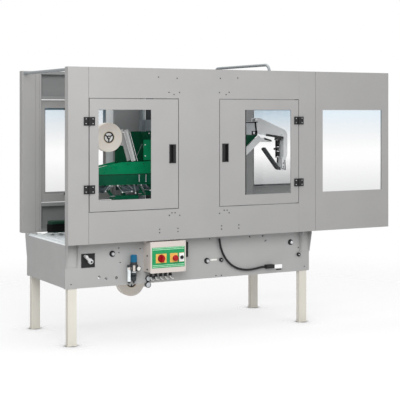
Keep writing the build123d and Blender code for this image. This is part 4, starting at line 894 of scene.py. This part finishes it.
class SEALER_OT_head_details(bpy.types.Operator):
    """Add the painted highlights and shade on the column and the rear wall, the levers and springs
    under the upper unit and its tape guides
    """
    bl_idname = "sealer.head_details"
    bl_label = "Head details"

    def execute(self, context):
        column, face = (700, 1698), (COLUMN_REACH - 0.6, COLUMN_REACH + 1.2)
        # Painted highlights on the rear column's edge and on the rear wall's flange.
        put_mesh("bright_edges", [block((907, 912), column, face, 0, True),
                                  block((738, 743), (1400, 1560), (5.2, 7), 0, True)],
                 ("bright_edge", "column_grey"))
        for name, stations, look in COLUMN_STRIPS:
            put_mesh(name, block(stations, column, face, 0, True), look)
        put_mesh("tape_levers", [strut(*row) for row in LEVER_BARS]
                                + [block(*row) for row in LEVER_BLOCKS],
                 ("lever_grey", "mechanism_aluminium"), "head")
        guides = [block((506, 691), (908, 934), (418, 500), 4),
                  block((582, 602), (934, 1012), (440, 480), 4),
                  strut((455, 1012), (520, 925), 14, (470, 500)),
                  block((696, 790), (931, 1012), (424, 490), 8)]
        put_mesh("tape_guides", guides, ("dark_cover", "dark_green"), "head")
        put_mesh("tension_springs", [coil(spot(*start), spot(*end), 5 * MM, 1.1 * MM, turns)
                                     for start, end, turns in SPRINGS], STEEL, "head")
        put_screws("lever_bolts", LARGE_HEAD, LEVER_BOLTS, LEVER_FACE, HIGHLIGHT, "head")
        # The guide's ribs carry a painted highlight.
        ribs = [strut((GUIDE_TOP[0] + x, GUIDE_TOP[1] - 12), (GUIDE_FOOT[0] + x, GUIDE_FOOT[1]), 3,
                      (402, 404.2)) for x in GUIDE_RIBS]
        put_mesh("tape_guide_ribs", ribs, ("bright_edge", "mechanism_aluminium"), "head")
        return {"FINISHED"}


DRIVE_STATIONS, DRIVE_HEIGHTS, DRIVE_FACE = (1531, 1649), (1346, 1440), 404
DRIVE_RIM = 7
ARM_BOLTS = ((1664, 1448), (1664, 1372), (1880, 1345))
ARM_FACE = 430
CYLINDER = (1860, 460)      # station and depth of the cylinder's axis
CYLINDER_BANDS = (1173, 1216, 1248, 1300)
PADDLE_START, PADDLE_END = np.array((1742.0, 1234.0)), np.array((1850.0, 1101.0))
PADDLE_HALF, PADDLE_RIB_PITCH = 9.2, 11


class SEALER_OT_folder_details(bpy.types.Operator):
    """Add the drive box's frame, the arm's rail, the cylinder's fittings and the paddle's ribs"""
    bl_idname = "sealer.folder_details"
    bl_label = "Flap folder details"

    def execute(self, context):
        (near, far), (low, high), face = DRIVE_STATIONS, DRIVE_HEIGHTS, DRIVE_FACE
        rim = (face - 3, face)
        put_mesh("drive_box_frame", [block((near, far), (high - DRIVE_RIM, high), rim),
                                     block((near, near + DRIVE_RIM), (low, high), rim),
                                     strut((1630, high), (1643, low), 12, rim),
                                     block((1600, far), (low, low + 26), (face - 2, face))],
                 GLOSS, "head")
        put_mesh("drive_box_cover", block((near + DRIVE_RIM, 1628), (low + 2, high - DRIVE_RIM),
                                          (face - 1.2, face), 3), ("cover_grey", "column_grey"), "head")
        put_mesh("drive_box_nut", block((1611, 1625), (1351, 1367), (face - 6, face - 2), 2),
                 HIGHLIGHT, "head")
        put_mesh("arm_rail", strut((1740, 1342), (1891, 1320), 16, (424, ARM_FACE)), GLOSS, "head")
        # A painted highlight along the arm's top edge.
        put_mesh("arm_rail_edge", strut((1696, 1345), (1740, 1348), 4, (426, ARM_FACE)),
                 ("bright_edge", "arm_grey"), "head")
        pivot = turned(((9, 0), (9, 44), (7, 46), (0.1, 46)), spot(1716, 484, 1312), FRONT, 20)
        put_mesh("arm_pivot", [pivot, strut((1702, 1316), (1764, 1298), 14, (386, 404), 8)],
                 GLOSS, "head")
        put_screws("arm_bolts", (7, 4), ARM_BOLTS, ARM_FACE, STEEL, "head")
        knob = ((5, 0), (5, 10), (8, 12), (8, 28), (6, 30), (0.1, 30))
        put_mesh("cylinder_knob", turned(knob, spot(1858, 460, 1236), LEFT, 20), GLOSS, "head")
        band = ((17.2, 0), (18, 1), (18, 5), (17.2, 6))
        put_mesh("cylinder_bands", [turned(band, spot(*CYLINDER, z), UP, 28)
                                    for z in CYLINDER_BANDS], STEEL, "head")
        tip = (427.4, ARM_FACE)
        put_mesh("tip_plates", [strut((1872, 1168), (1876, 1092), 3.5, tip),
                                strut((1906, 1152), (1911, 1082), 5, tip),
                                strut((1876, 1092), (1912, 1082), 4, tip)],
                 ("black_oxide", "black_plastic"), "head")
        put_screws("tip_bolts", LARGE_HEAD, ((1893, 1130), (1893, 1102)), ARM_FACE, OXIDE, "head")
        length = np.linalg.norm(PADDLE_END - PADDLE_START)
        run = (PADDLE_END - PADDLE_START) / length
        off = np.array((-run[1], run[0])) * PADDLE_HALF
        ribs = [strut(PADDLE_START + run * d - off, PADDLE_START + run * d + off, 2.6, (438.6, 481.4))
                for d in np.arange(4, length, PADDLE_RIB_PITCH)]
        put_mesh("paddle_ribs", ribs, ("dark_moulding", "paddle_black"), "paddle")
        return {"FINISHED"}


GUIDE_CENTRES = ((608, 402), (606, 360))
GUIDE_RIM = ((6, 0), (19, 0), (19, 14), (16.5, 15), (16.5, 12), (6, 12))
GUIDE_DISC = ((16.4, 0), (16.4, 11.6), (14, 12.4), (0.1, 12.4))
GUSSET_SCREWS = ((1823, 618), (1808, 538), (1844, 527), (1870, 650), (1875, 589), (1896, 544),
                 (1400, 639), (1505, 637), (1527, 600))
GLANDS = (612, 648, 684, 720, 756)
GLAND_DEPTH, LEAD_CLIP_DEPTH = 60, 92
WINDOW_CLIPS = (1533, 926)


class SEALER_OT_bed_details(bpy.types.Operator):
    """Add the duct beside the control box, the guide rollers and leads under it, and the door clips"""
    bl_idname = "sealer.bed_details"
    bl_label = "Bed and wall details"

    def execute(self, context):
        put_mesh("cable_duct", block((884, 904), (528, 632), (82, BED_DEPTH), 5), BLACK)
        put_mesh("tape_guide_rims", [ring_band(GUIDE_RIM, spot(x, 98, z), FRONT)
                                     for x, z in GUIDE_CENTRES], GLOSS)
        put_mesh("tape_guide_discs", [turned(GUIDE_DISC, spot(x, 97, z), FRONT, 32)
                                      for x, z in GUIDE_CENTRES], ("cover_grey", "roller_steel"))
        put_mesh("tape_guide_bracket", [strut((608, 420), (606, 352), 16, (97, BED_DEPTH + 2)),
                                        block((600, 660), (392, 412), (97, BED_DEPTH), 4)],
                 ("dark_moulding", "black_plastic"))
        put_mesh("slot_rail", block((1604, 1678), (385, 400), (BED_DEPTH + 4, BED_DEPTH + 8)),
                 ("bed_coat", "bed_sheet"))
        put_mesh("slot_stop", block((1622, 1664), (389, 396), (BED_DEPTH + 1, BED_DEPTH + 5), 2), BLACK)
        put_screws("gusset_screws", (4.5, 2.5), GUSSET_SCREWS, BED_DEPTH, OXIDE)
        nut = turned(((9, 0), (12, 1), (12, 8), (9, 9)), ORIGIN, DOWN, 6)
        put_row("gland_nuts", nut, [spot(x, GLAND_DEPTH, 424) for x in GLANDS], GLOSS)
        leads = [tube(smooth_path([spot(x, GLAND_DEPTH, 418), spot(x + 4, 64, 404),
                                   spot(x + 14, 78, 392 + k * 2), spot(x + 34, LEAD_CLIP_DEPTH, 388),
                                   spot(x + 46, 99, 390)]), 3.2 * MM, 8)
                 for k, x in enumerate(GLANDS)]
        put_mesh("gland_leads", leads, ("hub_grey", "black_plastic"))
        put_screws("lead_clips", (4.5, 3), [(x + 30, 398) for x in GLANDS], LEAD_CLIP_DEPTH, STEEL)
        # A painted shadow: a black strip in the gap at the window's edge of the right front door.
        put_mesh("glazing_strip", block((1309, 1318), (937, 1530), (8.2, 12)), GLOSS,
                 "front_right_door")
        # A painted light: a near-white strip on the rear left door's stile, where light falls.
        put_mesh("stile_lining", block((652, 716), (960, 1560), (30.4, 32), 0, True),
                 ("bright_edge", "door_sheet"), "rear_left_door")
        for side, _, rear in SIDES:
            put_mesh(f"window_clips_{side}", [block((322, 340), (z - 9, z + 9), (29.8, 43), 3, rear)
                                              for z in WINDOW_CLIPS], BLACK, f"{side}_left_door")
        hub = [strut((178, 532), (200, 554), 24, (81, 90)),
               turned(((7, 0), (7, 6), (5, 7), (0.1, 7)), spot(192, 81, 540), FRONT, 20)]
        put_mesh("crank_block", hub, ("cover_grey", "roller_steel"), "crank_handle")
        return {"FINISHED"}


FLOOR_REACH = 5.0
LAMP_AIM = (0.0, 0.0, 0.9)
LAMPS = (                   # name, place, size, power
    ("key_lamp", (-2.1, -3.3, 2.6), 2.2, 92),
    ("fill_lamp", (4.0, -4.6, 1.5), 4.0, 36),
    ("top_lamp", (0.4, 0.0, 5.2), 4.0, 150),
)
SKY_STRENGTH = 0.46


class SEALER_OT_stage(bpy.types.Operator):
    """Make the floor, the lamps and the camera"""
    bl_idname = "sealer.stage"
    bl_label = "Set the stage"

    def execute(self, context):
        floor_mesh = bpy.data.meshes.new("floor")
        corners = [(x * FLOOR_REACH, y * FLOOR_REACH, 0)
                   for x, y in ((-1, -1), (1, -1), (1, 1), (-1, 1))]
        floor_mesh.from_pydata(corners, [], [(0, 1, 2, 3)])
        floor_mesh.materials.append(finish("floor"))
        floor = bpy.data.objects.new("floor", floor_mesh)
        context.scene.collection.objects.link(floor)
        white_world(context.scene)
        for row in LAMPS:
            lamp(*row)
        photo_camera(context.scene)
        return {"FINISHED"}


def white_world(scene):
    """A soft even sky that shows as plain white to the camera and in reflections."""
    world = bpy.data.worlds.new("studio")
    scene.world = world
    world.use_nodes = True
    tree = world.node_tree
    tree.nodes.clear()
    light = add_node(tree, "ShaderNodeLightPath").outputs
    seen = maths(tree, "MAXIMUM", light["Is Camera Ray"], light["Is Transmission Ray"])
    either = maths(tree, "MAXIMUM", seen, light["Is Glossy Ray"])
    soft, white = (add_node(tree, "ShaderNodeBackground",
                            {"Color": (1.0, 1.0, 1.0, 1.0), "Strength": strength})
                   for strength in (SKY_STRENGTH, 1.0))
    mix = add_node(tree, "ShaderNodeMixShader", {
        "Fac": either, 1: soft.outputs["Background"], 2: white.outputs["Background"]})
    add_node(tree, "ShaderNodeOutputWorld", {"Surface": mix.outputs["Shader"]})
    scene.view_settings.view_transform = "Standard"


def lamp(name, place, size, power):
    """A square soft box that looks at the middle of the machine."""
    data = bpy.data.lights.new(name, "AREA")
    data.size = size
    data.energy = power
    source = bpy.data.objects.new(name, data)
    source.location = place
    aim = np.array(LAMP_AIM) - np.asarray(place)
    source.rotation_euler = (math.acos(aim[2] / -np.linalg.norm(aim)), 0,
                             math.atan2(aim[1], aim[0]) - math.pi / 2)
    bpy.context.scene.collection.objects.link(source)


CAMERA_PLACE = (-2646.5, -6624.6, 1503.8)       # station, depth and height
CAMERA_TURN = 28.5
PHOTO_WIDTH = 400
FOCAL_PIXELS = 1118.5
HORIZON_ROW = 113.1
SENSOR = 36.0


def photo_camera(scene):
    """A level camera at the photograph's angle, shifted down so that upright edges stay upright."""
    data = bpy.data.cameras.new("camera")
    data.sensor_width = SENSOR
    data.sensor_fit = "HORIZONTAL"
    data.lens = FOCAL_PIXELS / PHOTO_WIDTH * SENSOR
    data.shift_y = -(PHOTO_WIDTH / 2 - HORIZON_ROW) / PHOTO_WIDTH
    data.clip_end = 200.0
    camera = bpy.data.objects.new("camera", data)
    camera.location = spot(*CAMERA_PLACE)
    camera.rotation_euler = (math.radians(90), 0, -math.radians(CAMERA_TURN))
    scene.collection.objects.link(camera)
    scene.camera = camera


class SEALER_PT_panel(bpy.types.Panel):
    """Lists the steps that dress the machine"""
    bl_label = "Carton sealer"
    bl_idname = "SEALER_PT_panel"
    bl_space_type = "VIEW_3D"
    bl_region_type = "UI"
    bl_category = "Sealer"

    def draw(self, context):
        for operator in OPERATORS:
            self.layout.operator(operator.bl_idname)


OPERATORS = (
    SEALER_OT_finishes, SEALER_OT_fasteners, SEALER_OT_grommets, SEALER_OT_box_front,
    SEALER_OT_air_fittings, SEALER_OT_tape_details, SEALER_OT_head_details,
    SEALER_OT_folder_details, SEALER_OT_bed_details, SEALER_OT_stage,
)
CLASSES = (SealerColours, SealerSizes, *OPERATORS, SEALER_PT_panel)


def register():
    """Register the classes and hang the settings on the scene."""
    for cls in CLASSES:
        bpy.utils.register_class(cls)
    bpy.types.Scene.sealer_colours = bpy.props.PointerProperty(type=SealerColours)
    bpy.types.Scene.sealer_sizes = bpy.props.PointerProperty(type=SealerSizes)


def unregister():
    """Take the settings off the scene and unregister the classes."""
    del bpy.types.Scene.sealer_sizes
    del bpy.types.Scene.sealer_colours
    for cls in reversed(CLASSES):
        bpy.utils.unregister_class(cls)


def main():
    """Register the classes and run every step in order."""
    register()
    for operator in OPERATORS:
        group, step = operator.bl_idname.split(".")
        getattr(getattr(bpy.ops, group), step)()
    bpy.context.view_layer.update()


if __name__ == "__main__":
    main()
